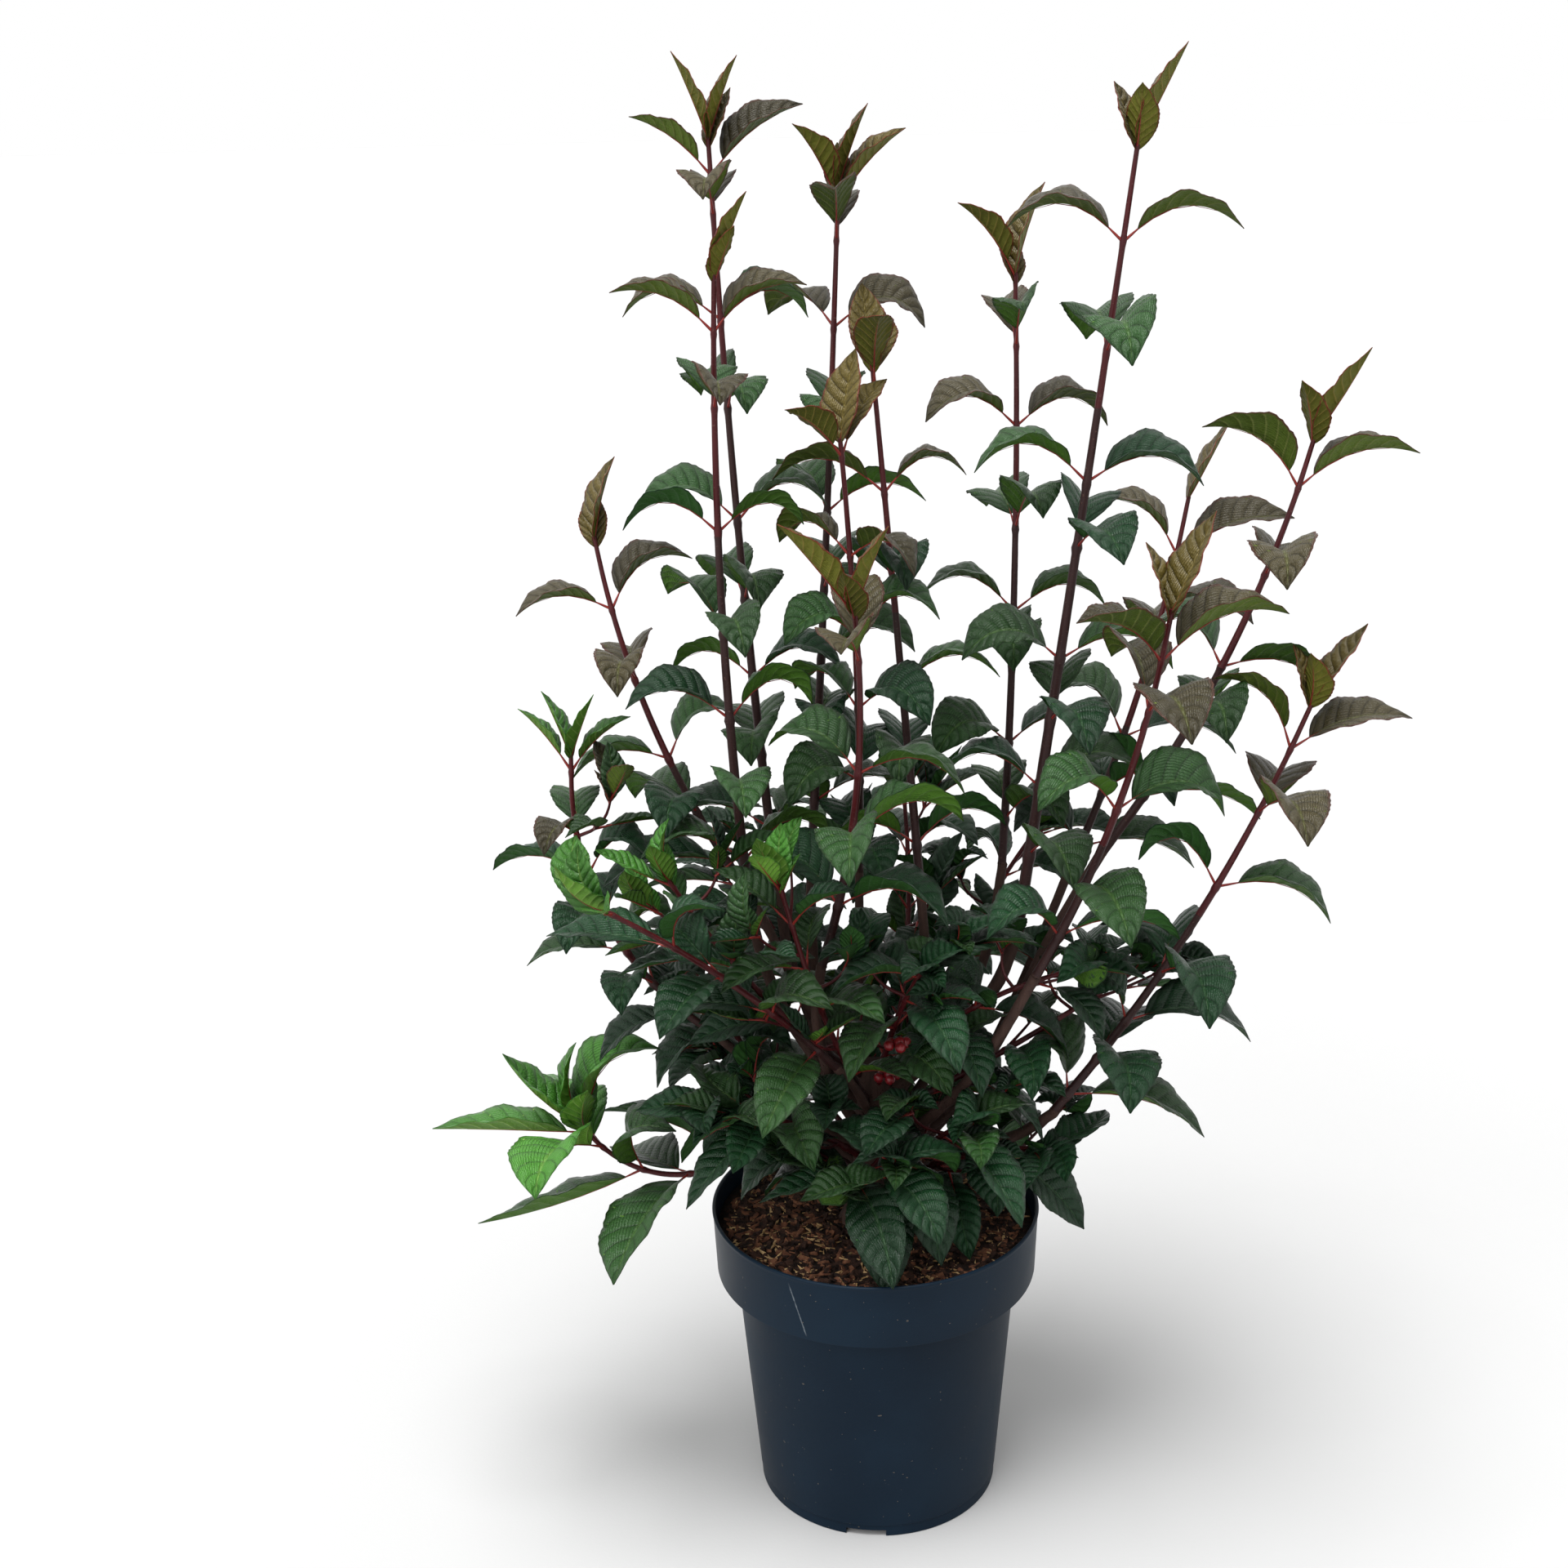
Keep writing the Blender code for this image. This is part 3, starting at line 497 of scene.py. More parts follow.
def aim_leaf(
    root: Vector,
    way: Vector,
    degrees: float,
    rise: float,
    droop: float,
    sizes: tuple[float, float],
    roll: float,
    fold: float,
) -> Leaf:
    """Aims one leaf.

    Args:
        root: Its place on the stem.
        way: The stem's way there, tipwards.
        degrees: The leaf's bearing.
        rise: Degrees between its start and the stem.
        droop: Degrees below level at its tip.
        sizes: The lengths of stalk and blade.
        roll: Degrees that the blade is rolled about its midrib.
        fold: Degrees that each half stands up from flat.

    Returns:
        The leaf.
    """
    level = bearing(degrees)
    out = (level - way * level.dot(way)).normalized()
    root = root - out * ROOT_SINK
    lean = math.radians(rise)
    drop = math.radians(droop)
    start = way * math.cos(lean) + out * math.sin(lean)
    end = level * math.cos(drop) - UP * math.sin(drop)
    petiole, blade = sizes
    return Leaf(root, start, end, level, petiole, blade, math.radians(roll), math.radians(fold))


def midrib(leaf: Leaf, share: float) -> tuple[Vector, Vector]:
    """Reads the midrib, one even bend.

    Args:
        leaf: The leaf.
        share: How far along the blade, from 0 to 1.

    Returns:
        The place and the way there.
    """
    foot = leaf.root + leaf.start * leaf.petiole
    knee = foot + leaf.start * (0.5 * leaf.blade)
    tip = knee + leaf.end * (0.5 * leaf.blade)
    place = foot * (1 - share) ** 2 + knee * (2 * share * (1 - share)) + tip * share**2
    return place, (leaf.start * (1 - share) + leaf.end * share).normalized()


def leaf_ring(leaf: Leaf, share: float, half: float, thick: float) -> list[Vector]:
    """Four points round the midrib.

    Args:
        leaf: The leaf.
        share: How far along the blade, from 0 to 1.
        half: Half the blade's width there.
        thick: Half its thickness there.

    Returns:
        One edge, the upper side, the other edge and the underside.
    """
    place, way = midrib(leaf, share)
    side = leaf.out.cross(UP)
    side = (side - way * side.dot(way)).normalized()
    side.rotate(Matrix.Rotation(leaf.roll, 3, way))
    face = side.cross(way)
    reach = side * (half * math.cos(leaf.fold))
    lift = face * (half * math.sin(leaf.fold))
    return [place + reach + lift, place + face * thick, place - reach + lift, place - face * thick]


def leaf_mesh(leaf: Leaf, swell: float = 0.0) -> Shape:
    """A closed leaf: stalk, folded blade and tip.

    Args:
        leaf: The leaf.
        swell: Room to add round it.

    Returns:
        Its points and faces.
    """
    half = 0.5 * LEAF_WIDTH * leaf.blade + swell
    thick = 0.5 * LEAF_THICK * leaf.blade + swell
    place, way = midrib(leaf, 1.0)
    rings = LEAF_RINGS if leaf.petiole else TUFT_RINGS
    points = [leaf.root]
    for share, width in rings:
        points += leaf_ring(leaf, share, width * half, thick)
    points.append(place + way * swell)
    faces = [(0, 1 + (i + 1) % 4, 1 + i) for i in range(4)]
    if len(rings) == 2:
        for edge, middle in itertools.product((0, 2), (1, 3)):
            faces += [(1 + edge, 1 + middle, 5 + middle), (1 + edge, 5 + middle, 5 + edge)]
    last = len(points) - 1
    faces += [(last - 4 + i, last - 4 + (i + 1) % 4, last) for i in range(4)]
    return points, faces


def pair_places(gaps: Sequence[float], length: float) -> list[float]:
    """Where the pairs of leaves stand on a stem.

    Args:
        gaps: Centimetres from each pair down to the next, the last of which repeats.
        length: The stem's length.

    Returns:
        How far below the tip each pair stands.
    """
    places = []
    below = 0.0
    while True:
        below += gaps[min(len(places), len(gaps) - 1)] * CM
        if below > length - 1.5 * CM:
            return places
        places.append(below)


def leaves_on(
    axis: Axis,
    shoot: Shoot,
    gaps: Sequence[float],
    turn: float,
    size: float,
    droop: float,
    chance: random.Random,
) -> list[Leaf]:
    """The leaves of one stem: a tuft at its tip, then opposite pairs, each turned a quarter from the last.

    Args:
        axis: The stem.
        shoot: The shoot that it belongs to.
        gaps: Centimetres from each pair down to the next, the last of which repeats.
        turn: The bearing of the topmost pair.
        size: The blade of a full leaf.
        droop: Degrees below level at a full leaf's tip.
        chance: Where its small differences come from.

    Returns:
        The leaves.
    """
    leaves = []
    for level, (share, rise, fall) in enumerate(TUFT):
        root, way = axis.at(TUFT_FOOT + TUFT_STEP * level)
        for half_turn in (0, 180):
            degrees = turn + 90 * level + half_turn + chance.uniform(-12, 12)
            sizes = (0.0, share * size * chance.uniform(0.9, 1.1))
            rise_now = rise + chance.uniform(-4, 4)
            fold = chance.uniform(*TUFT_FOLD)
            roll = chance.uniform(-15, 15)
            leaves.append(aim_leaf(root, way, degrees, rise_now, fall + shoot.hang, sizes, roll, fold))
    for number, below in enumerate(pair_places(gaps, axis.length)):
        root, way = axis.at(below)
        age = min(1.0, below / (shoot.grown * CM))
        for half_turn in (0, 180):
            degrees = turn + 90 * number + half_turn + chance.uniform(-14, 14)
            rise = LEAF_RISE - 20 * (1 - age) + chance.uniform(-7, 7)
            fall = (droop + YOUNG_LIFT) * age - YOUNG_LIFT + chance.uniform(-12, 12)
            blade = size * (0.64 + 0.36 * age) * chance.uniform(0.88, 1.08)
            petiole = PETIOLE * chance.uniform(0.8, 1.2) + axis.radius(below)
            roll = chance.uniform(-22, 22)
            fold = chance.uniform(*LEAF_FOLD) * (1.3 - 0.5 * age)
            leaves.append(aim_leaf(root, way, degrees, rise, fall, (petiole, blade), roll, fold))
    return leaves


def twigs_on(axis: Axis, shoot: Shoot, chance: random.Random) -> list[Axis]:
    """Side twigs, one at each of the upper pairs, each on the next side round.

    Args:
        axis: The stem.
        shoot: The shoot that it belongs to.
        chance: Where its small differences come from.

    Returns:
        The twigs.
    """
    twigs = []
    places = pair_places(shoot.gaps, axis.length)[1 : 1 + shoot.twigs]
    for number, below in enumerate(places):
        root, way = axis.at(below)
        level = bearing(shoot.turn + TWIG_TURN * number + chance.uniform(-25, 25))
        length = (TWIG_LENGTH + TWIG_STEP * number) * CM * chance.uniform(0.85, 1.15)
        middle = root + (way * 0.5 + level * 0.8).normalized() * (0.5 * length)
        tip = middle + (way * 0.8 + level * 0.45).normalized() * (0.5 * length)
        twigs.append(Axis(arc_through(root, middle, tip, 4), TWIG_RADIUS, 0.6 * TWIG_RADIUS))
    return twigs


def turned_leaf(leaf: Leaf, degrees: float) -> Leaf:
    """The same leaf turned about the upright through its root."""
    spin = Matrix.Rotation(math.radians(degrees), 3, "Z")
    return leaf._replace(start=spin @ leaf.start, end=spin @ leaf.end, out=spin @ leaf.out)


def fit_leaf(leaf: Leaf, owner: str, room: Room) -> Leaf | None:
    """Turns a leaf until it touches nothing.

    Args:
        leaf: The leaf.
        owner: The shoot that it stands on.
        room: What is there already.

    Returns:
        The leaf at the first turn that is free, or None.
    """
    for degrees in TRIES:
        option = turned_leaf(leaf, degrees)
        points, faces = leaf_mesh(option, ROOM)
        if not room.is_free(points, faces, others_than=owner):
            continue
        if room.is_free(points, faces[4:], owned_by=owner):
            return option
    return None


def limb_start(target: Vector, height: float, swing: float) -> Vector:
    """A place just inside the main stem.

    Args:
        target: Where the limb is bound.
        height: The height of the place.
        swing: Degrees from the target's side round the main stem.

    Returns:
        The place.
    """
    level = Vector((target.x, target.y, 0.0))
    level.rotate(Matrix.Rotation(math.radians(swing), 3, "Z"))
    return level.normalized() * (0.35 * STEM_RADIUS) + UP * height


def limb_of(shoot: Shoot, lift: float, swing: float, climb: float) -> tuple[Axis, list[Vector] | None]:
    """Lays out one limb.

    Args:
        shoot: Its shoot.
        lift: How far its start is raised.
        swing: Degrees that its start is swung round the main stem.
        climb: How steeply its bough sets out.

    Returns:
        The axis of its leafy length, and the path of its bough if it has one.
    """
    foot, bend, tip = (Vector(place) * CM for place in (shoot.foot, shoot.bend, shoot.tip))
    thick = shoot.thick * CM
    if shoot.trunk:
        start = limb_start(bend, foot.z + lift, swing)
        bend.rotate(Matrix.Rotation(math.radians(0.5 * swing), 3, "Z"))
        return Axis(arc_through(start, bend + UP * lift, tip, 8), thick, TIP_RADIUS), None
    axis = Axis(arc_through(foot, bend, tip, 8), thick, TIP_RADIUS)
    way = axis.at(axis.length)[1]
    start = limb_start(foot, BOUGH_HEIGHT + lift, swing)
    level = start - UP * start.z
    way_out = (level.normalized() + UP * climb).normalized()
    curve = sweep_between(start, way_out, foot - way * BOUGH_END, way, BOUGH_RINGS - 1)
    return axis, [*curve, foot - way * CLEAR]


def starts() -> list[tuple[float, float, float]]:
    """Each choice of height, swing and climb for a limb's start, the smallest change first."""
    choices = itertools.product(LIFTS, SWINGS, CLIMBS)
    return sorted(choices, key=lambda choice: abs(choice[0]) + abs(choice[1]) / 10 + abs(choice[2] - 1))


def flare_of(thick: float) -> list[float]:
    """The radius at each ring of a bough, from the main stem out."""
    last = BOUGH_RINGS - 1
    return [thick * (BOUGH_FLARE + (1 - BOUGH_FLARE) * i / last) for i in range(BOUGH_RINGS)]


def limb_shapes(axis: Axis, bough: list[Vector] | None, swell: float) -> list[Shape]:
    """The bare limb as closed tubes.

    Args:
        axis: Its leafy length.
        bough: The path of its bough, if it has one.
        swell: What to add to its radii.

    Returns:
        The tubes.
    """
    shapes = [tube(axis.path, [radius + swell for radius in axis.radii()], SHOOT_SIDES)]
    if bough:
        shapes.append(tube(bough, [radius + swell for radius in flare_of(axis.thick)], BOUGH_SIDES))
    return shapes


def route_limbs(room: Room) -> list[Route]:
    """Finds each shoot a way from the main stem that touches no other limb.

    Args:
        room: What is there already. Each new piece is added to it.

    Returns:
        The limbs, those with a bough first.
    """
    routes = []
    for shoot in sorted(SHOOTS, key=lambda shoot: shoot.trunk):
        for lift, swing, climb in starts():
            axis, bough = limb_of(shoot, lift * LIFT, swing, climb)
            shapes = limb_shapes(axis, bough, ROOM)
            height = (bough or axis.path)[0].z
            if not MULCH_TOP + STEM_MARGIN < height < STEM_TOP - STEM_MARGIN:
                continue
            if all(room.is_free(*shape, others_than="main_stem") for shape in shapes):
                break
        else:
            LOG.info("no clear way for %s", shoot.name)
        for shape in shapes:
            room.add(shoot.name, *shape)
        routes.append((shoot, axis, bough))
    return routes


def grow_leaves(routes: list[Route], room: Room) -> list[Grown]:
    """Grows the twigs and leaves of every shoot, without those that would touch what is there.

    Args:
        routes: The limbs.
        room: What is there already. Each new piece is added to it.

    Returns:
        The twigs and leaves of each limb.
    """
    grown = []
    for number, (shoot, axis, _) in enumerate(routes):
        chance = random.Random(LEAF_SEED + number)
        leaves = leaves_on(axis, shoot, shoot.gaps, shoot.turn, shoot.leaf * CM, shoot.droop, chance)
        twigs = []
        for twig in twigs_on(axis, shoot, chance):
            turn = chance.uniform(0, 180)
            more = leaves_on(twig, shoot, TWIG_GAPS, turn, 0.85 * shoot.leaf * CM, 50, chance)
            shape = tube(twig.path, [r + ROOM for r in twig.radii()], TWIG_SIDES)
            if room.is_free(*shape, others_than=shoot.name):
                room.add(shoot.name, *shape)
                twigs.append(twig)
                leaves += more
        fitted = []
        for leaf in leaves:
            option = fit_leaf(leaf, shoot.name, room)
            if option:
                room.add(shoot.name, *leaf_mesh(option))
                fitted.append(option)
        grown.append((twigs, fitted))
    return grown


def finer_twigs(routes: list[Route], grown: list[Grown], room: Room) -> None:
    """Adds finer twigs with smaller leaves to the low shoots, inside the crown's own box.

    Args:
        routes: The limbs.
        grown: The twigs and leaves of each limb, which this adds to.
        room: What is there already. Each new piece is added to it.
    """
    low, high = CAD_BOX
    for number, (shoot, axis, _) in enumerate(routes):
        chance = random.Random(FINER_SEED + number)
        if not shoot.trunk:
            continue
        for step in range(FINER_TWIGS):
            root, way = axis.at(axis.length * (0.12 + 0.8 * step / FINER_TWIGS))
            level = bearing(shoot.turn + FINER_TURN * step + chance.uniform(-20, 20))
            length = FINER_LENGTH * chance.uniform(0.7, 1.2)
            middle = root + (way * 0.4 + level * 0.8 + UP * 0.1).normalized() * (0.5 * length)
            tip = middle + (way * 0.6 + level * 0.6 + UP * 0.3).normalized() * (0.5 * length)
            twig = Axis(arc_through(root, middle, tip, 4), TWIG_RADIUS, 0.6 * TWIG_RADIUS)
            shape = tube(twig.path, [radius + ROOM for radius in twig.radii()], TWIG_SIDES)
            turn = chance.uniform(0, 180)
            leaves = leaves_on(twig, shoot, FINER_GAPS, turn, 0.88 * shoot.leaf * CM, 55, chance)
            if not room.is_free(*shape, others_than=shoot.name):
                continue
            room.add(shoot.name, *shape)
            grown[number][0].append(twig)
            for leaf in leaves:
                option = fit_leaf(leaf, shoot.name, room)
                if option is None:
                    continue
                points, faces = leaf_mesh(option)
                least, most = corners_of(points)
                if all(least[i] > low[i] and most[i] < high[i] for i in range(3)):
                    room.add(shoot.name, points, faces)
                    grown[number][1].append(option)


def linear(red: int, green: int, blue: int) -> Colour:
    """Turns a colour as seen on a screen into linear light.

    Args:
        red: Red, from 0 to 255.
        green: Green, from 0 to 255.
        blue: Blue, from 0 to 255.

    Returns:
        Its three channels.
    """

    def one(value: int) -> float:
        """One channel as linear light."""
        share = value / 255
        return share / 12.92 if share <= 0.04045 else ((share + 0.055) / 1.055) ** 2.4

    return one(red), one(green), one(blue)


class Graph:
    """Builds the nodes of one Principled material."""

    def __init__(self, name: str) -> None:
        """Starts a material with a Principled shader.

        Args:
            name: The material's name.
        """
        self.material = bpy.data.materials.new(name)
        self.material.use_nodes = True
        self.nodes = self.material.node_tree.nodes
        self.links = self.material.node_tree.links
        self.shader = self.nodes["Principled BSDF"]

    def feed(self, socket: Any, value: Any) -> None:
        """Feeds a socket.

        Args:
            socket: The socket.
            value: Another socket to link, or a value to set.
        """
        if isinstance(value, bpy.types.NodeSocket):
            self.links.new(value, socket)
        elif isinstance(value, tuple) and len(value) == 3 and socket.type == "RGBA":
            socket.default_value = (*value, 1.0)
        else:
            socket.default_value = value

    def math(self, operation: str, *values: Any) -> Any:
        """Adds a Math node.

        Args:
            operation: What it does.
            values: What feeds its inputs.

        Returns:
            Its result.
        """
        node = self.nodes.new("ShaderNodeMath")
        node.operation = operation
        for socket, value in zip(node.inputs, values):
            self.feed(socket, value)
        return node.outputs[0]

    def times(self, first: Any, second: Any) -> Any:
        """The product of two values."""
        return self.math("MULTIPLY", first, second)

    def plus(self, first: Any, second: Any) -> Any:
        """The sum of two values."""
        return self.math("ADD", first, second)

    def minus(self, first: Any, second: Any) -> Any:
        """The first value less the second."""
        return self.math("SUBTRACT", first, second)

    def most(self, first: Any, second: Any) -> Any:
        """The greater of two values."""
        return self.math("MAXIMUM", first, second)

    def stripe(self, value: Any) -> Any:
        """Half at each whole number, falling to nothing midway between."""
        return self.math("ABSOLUTE", self.minus(self.math("FRACT", value), 0.5))

    def ramp(self, value: Any, low: float, high: float) -> Any:
        """A ramp that is held outside its ends.

        Args:
            value: What is read.
            low: Where the ramp is 0.
            high: Where the ramp is 1.

        Returns:
            Its result.
        """
        node = self.nodes.new("ShaderNodeMapRange")
        node.interpolation_type = "SMOOTHSTEP" if low < high else "LINEAR"
        self.feed(node.inputs["Value"], value)
        node.inputs["From Min"].default_value = low
        node.inputs["From Max"].default_value = high
        return node.outputs["Result"]

    def mix(self, share: Any, first: Any, second: Any) -> Any:
        """A blend of two colours.

        Args:
            share: The second colour's share.
            first: The first colour.
            second: The second colour.

        Returns:
            The blend.
        """
        node = self.nodes.new("ShaderNodeMix")
        node.data_type = "RGBA"
        self.feed(node.inputs[0], share)
        self.feed(node.inputs[6], first)
        self.feed(node.inputs[7], second)
        return node.outputs[2]

    def place(self, stretch: Triple = (1.0, 1.0, 1.0)) -> Any:
        """Object coordinates.

        Args:
            stretch: The scale along each axis.

        Returns:
            The coordinates.
        """
        coordinates = self.nodes.new("ShaderNodeTexCoord")
        mapping = self.nodes.new("ShaderNodeMapping")
        mapping.inputs["Scale"].default_value = stretch
        self.links.new(coordinates.outputs["Object"], mapping.inputs["Vector"])
        return mapping.outputs["Vector"]

    def noise(self, scale: float, detail: float = 3.0, stretch: Triple = (1.0, 1.0, 1.0)) -> Any:
        """Noise in Object coordinates.

        Args:
            scale: Its scale.
            detail: Its detail.
            stretch: The scale along each axis.

        Returns:
            A value from 0 to 1.
        """
        node = self.nodes.new("ShaderNodeTexNoise")
        self.links.new(self.place(stretch), node.inputs["Vector"])
        node.inputs["Scale"].default_value = scale
        node.inputs["Detail"].default_value = detail
        return node.outputs[0]

    def split(self, vector: Any) -> tuple[Any, Any, Any]:
        """The three parts of a vector.

        Args:
            vector: The vector.

        Returns:
            Its x, y and z.
        """
        node = self.nodes.new("ShaderNodeSeparateXYZ")
        self.links.new(vector, node.inputs[0])
        return node.outputs[0], node.outputs[1], node.outputs[2]

    def attribute(self, name: str) -> Any:
        """Reads a mesh attribute.

        Args:
            name: The attribute's name.

        Returns:
            Its vector.
        """
        node = self.nodes.new("ShaderNodeAttribute")
        node.attribute_name = name
        return node.outputs["Vector"]

    def finish(self, colour: Any, roughness: Any, height: Any, depth: float, gloss: float = 0.4) -> Any:
        """Dresses the shader.

        Args:
            colour: Base colour, a value or a socket.
            roughness: Roughness, a value or a socket.
            height: Socket of the relief's height, from 0 to 1.
            depth: The relief's depth in metres.
            gloss: Specular level.

        Returns:
            The material.
        """
        bump = self.nodes.new("ShaderNodeBump")
        bump.inputs["Strength"].default_value = 1.0
        bump.inputs["Distance"].default_value = depth
        self.links.new(height, bump.inputs["Height"])
        self.links.new(bump.outputs[0], self.shader.inputs["Normal"])
        self.feed(self.shader.inputs["Base Color"], colour)
        self.feed(self.shader.inputs["Roughness"], roughness)
        self.shader.inputs["Specular IOR Level"].default_value = gloss
        return self.material


class Side(Enum):
    """The two sides of a leaf."""

    UPPER = "upper"
    UNDER = "under"


@dataclass(frozen=True)
class LeafFinish:
    """The colours of one kind of leaf, on its upper side and underside, and of its margin."""

    name: str
    upper: Colour
    under: Colour
    vein: Colour
    margin: Colour
    roughness: float = 0.36
    veins: float = 8.0
    slant: float = 1.5
    net: tuple[float, float] = (13.0, 9.0)  # cells of the finest veins, across and along
    crinkles: float = 520.0
    patches: float = 34.0
    shade: float = 0.62
    sun: float = 1.32
    # share of the colour left in the upper side's vein grooves: painted shade
    groove_shade: float = 0.4
    depth: float = 0.0016
    gloss: float = 0.36
    dull: float = 0.14

    def veined(self, graph: Graph, along: Any, edge: Any) -> tuple[Any, Any, Any, Any]:
        """The lines of the blade.

        Args:
            graph: The material's graph.
            along: Share of the blade's length.
            edge: Share of its half width.

        Returns:
            The pleats, the side veins, the finest veins and the midrib.
        """
        wave = graph.minus(graph.times(along, self.veins), graph.times(edge, self.slant))
        pleat = graph.stripe(wave)
        side_veins = graph.ramp(pleat, 0.37, 0.5)
        cells = graph.plus(graph.times(edge, self.net[0]), graph.times(along, self.net[1]))
        finest = graph.ramp(graph.stripe(cells), 0.3, 0.5)
        return pleat, side_veins, finest, graph.ramp(edge, 0.09, 0.02)

    def material(self, side: Side) -> Any:
        """Pleats between slanting veins, fine crinkles and a pale midrib, with painted shade in the crinkle
        hollows and, on the upper side, in the vein grooves.

        Args:
            side: Which side of the leaf.

        Returns:
            The material.
        """
        top = side is Side.UPPER
        graph = Graph(f"leaf_{self.name}_{side.value}")
        along, across, tone = graph.split(graph.attribute("blade"))
        edge = graph.math("ABSOLUTE", across)
        pleat, side_veins, finest, middle = self.veined(graph, along, edge)
        lines = graph.most(side_veins, middle)
        crinkle = graph.noise(self.crinkles, 4.0)
        patch = graph.noise(self.patches, 2.0)
        colour = self.upper if top else self.under
        dark = tuple(self.shade * part for part in colour)
        light = tuple(self.sun * part for part in colour)
        mottle = graph.ramp(graph.plus(tone, graph.times(patch, 0.5)), 0.1, 1.3)
        base = graph.mix(mottle, dark, light)
        # painted shade: where the crinkle relief dips, the colour is darkened towards the dark copy
        base = graph.mix(graph.times(graph.ramp(crinkle, 0.5, 0.3), 0.4), base, dark)
        if top:
            # painted shade: on the upper side the side veins and finest veins, sunk as grooves by the bump,
            # are darkened
            fine = graph.most(side_veins, graph.times(finest, 0.45))
            base = graph.mix(graph.times(fine, 0.7), base, tuple(self.groove_shade * part for part in colour))
            base = graph.mix(graph.times(middle, 0.28), base, self.vein)
        else:
            fine = graph.most(lines, graph.times(finest, 0.35))
            base = graph.mix(graph.times(fine, 0.75), base, self.vein)
        base = graph.mix(graph.ramp(edge, 0.86, 1.0), base, self.margin)
        relief = graph.math("POWER", graph.times(pleat, 2.0), 2.0)
        relief = graph.plus(graph.most(relief, middle), graph.times(finest, 0.3))
        relief = graph.times(relief, -1.0 if top else 1.0)
        relief = graph.plus(relief, graph.times(crinkle, 0.9))
        rough = self.roughness if top else self.roughness + 0.18
        return graph.finish(base, rough, relief, self.depth, self.gloss if top else self.dull)


class Tint(Enum):
    """The kinds of leaf, from the youngest to the oldest: upper side, underside, veins and margin. The
    darkest, DEEP, goes mostly to leaves low in the crown, both as older leaves and as painted shade.
    """

    BRONZE = LeafFinish(
        "bronze", linear(88, 76, 32), linear(94, 96, 32), linear(140, 124, 62), linear(108, 46, 34)
    )
    DUSKY = LeafFinish(
        "dusky", linear(64, 58, 38), linear(74, 92, 28), linear(112, 120, 62), linear(78, 46, 36)
    )
    FRESH = LeafFinish(
        "fresh", linear(62, 116, 38), linear(96, 142, 48), linear(142, 176, 90), linear(56, 104, 32)
    )
    MID = LeafFinish(
        "mid", linear(38, 70, 31), linear(70, 108, 34), linear(92, 124, 62), linear(36, 60, 28)
    )
    DEEP = LeafFinish(
        "deep", linear(18, 53, 27), linear(44, 84, 34), linear(64, 100, 58), linear(16, 42, 22)
    )


@dataclass(frozen=True)
class BarkFinish:
    """Stem bark in two colours, with relief that runs along the stem."""

    name: str
    dark: Colour
    light: Colour
    roughness: float
    depth: float

    def material(self) -> Any:
        """Bark streaked along the height, with small pale lenticels.

        Returns:
            The material.
        """
        graph = Graph(self.name)
        streak = graph.noise(160.0, 5.0, (1.0, 1.0, 0.16))
        spots = graph.ramp(graph.noise(620.0, 1.0), 0.66, 0.74)
        colour = graph.mix(streak, self.dark, self.light)
        colour = graph.mix(graph.times(spots, 0.35), colour, linear(112, 80, 70))
        return graph.finish(colour, self.roughness, graph.plus(streak, spots), self.depth, 0.25)


class Bark(Enum):
    """The barks of the plant, from the oldest to the leaf stalks."""

    WOODY = BarkFinish("woody_bark", linear(38, 26, 24), linear(78, 56, 48), 0.8, 0.0012)
    SHOOT = BarkFinish("shoot_bark", linear(30, 15, 16), linear(55, 29, 27), 0.5, 0.0003)
    YOUNG = BarkFinish("young_bark", linear(42, 10, 15), linear(82, 20, 23), 0.42, 0.0002)
    STALK = BarkFinish("stalk_skin", linear(104, 20, 26), linear(134, 48, 36), 0.4, 0.0001)


@dataclass(frozen=True)
class PotFinish:
    """Satin dark blue-grey moulded plastic with dust, specks and one scratch on the collar."""

    name: str = "pot_plastic"
    colour: Colour = linear(9, 24, 37)
    worn: Colour = linear(14, 31, 45)
    dust: Colour = linear(90, 84, 76)

    def material(self) -> Any:
        """Plastic with a scratch placed by the pot's own coordinates.

        Returns:
            The material.
        """
        graph = Graph(self.name)
        x, y, z = graph.split(graph.place())
        cloud = graph.ramp(graph.noise(9.0, 4.0), 0.35, 0.8)
        fine = graph.noise(900.0, 2.0)
        specks = graph.ramp(graph.noise(260.0, 1.0), 0.76, 0.78)
        lean = graph.math("MULTIPLY_ADD", z, -0.3, 0.0065)
        line = graph.math("ABSOLUTE", graph.minus(x, lean))
        wobble = graph.times(graph.noise(300.0, 2.0), 0.0012)
        scratch = graph.ramp(graph.plus(line, wobble), 0.0013, 0.0006)
        span = graph.times(graph.ramp(z, 0.210, 0.216), graph.ramp(z, 0.258, 0.250))
        scratch = graph.times(graph.times(scratch, span), graph.ramp(y, -0.05, -0.07))
        colour = graph.mix(cloud, self.colour, self.worn)
        colour = graph.mix(graph.times(specks, 0.6), colour, self.dust)
        colour = graph.mix(graph.times(scratch, 0.7), colour, linear(110, 118, 124))
        rough = graph.math("MULTIPLY_ADD", cloud, 0.12, 0.42)
        relief = graph.plus(graph.times(fine, 0.3), graph.times(specks, 1.0))
        return graph.finish(colour, rough, relief, 0.0002, 0.1)


@dataclass(frozen=True)
class ChipFinish:
    """Rough flakes in two colours."""

    name: str
    dark: Colour
    light: Colour

    def material(self) -> Any:
        """Colours mottled from flake to flake.

        Returns:
            The material.
        """
        graph = Graph(self.name)
        patch = graph.noise(150.0, 4.0)
        colour = graph.mix(graph.ramp(patch, 0.35, 0.65), self.dark, self.light)
        return graph.finish(colour, 0.9, graph.noise(900.0, 3.0), 0.0006, 0.2)


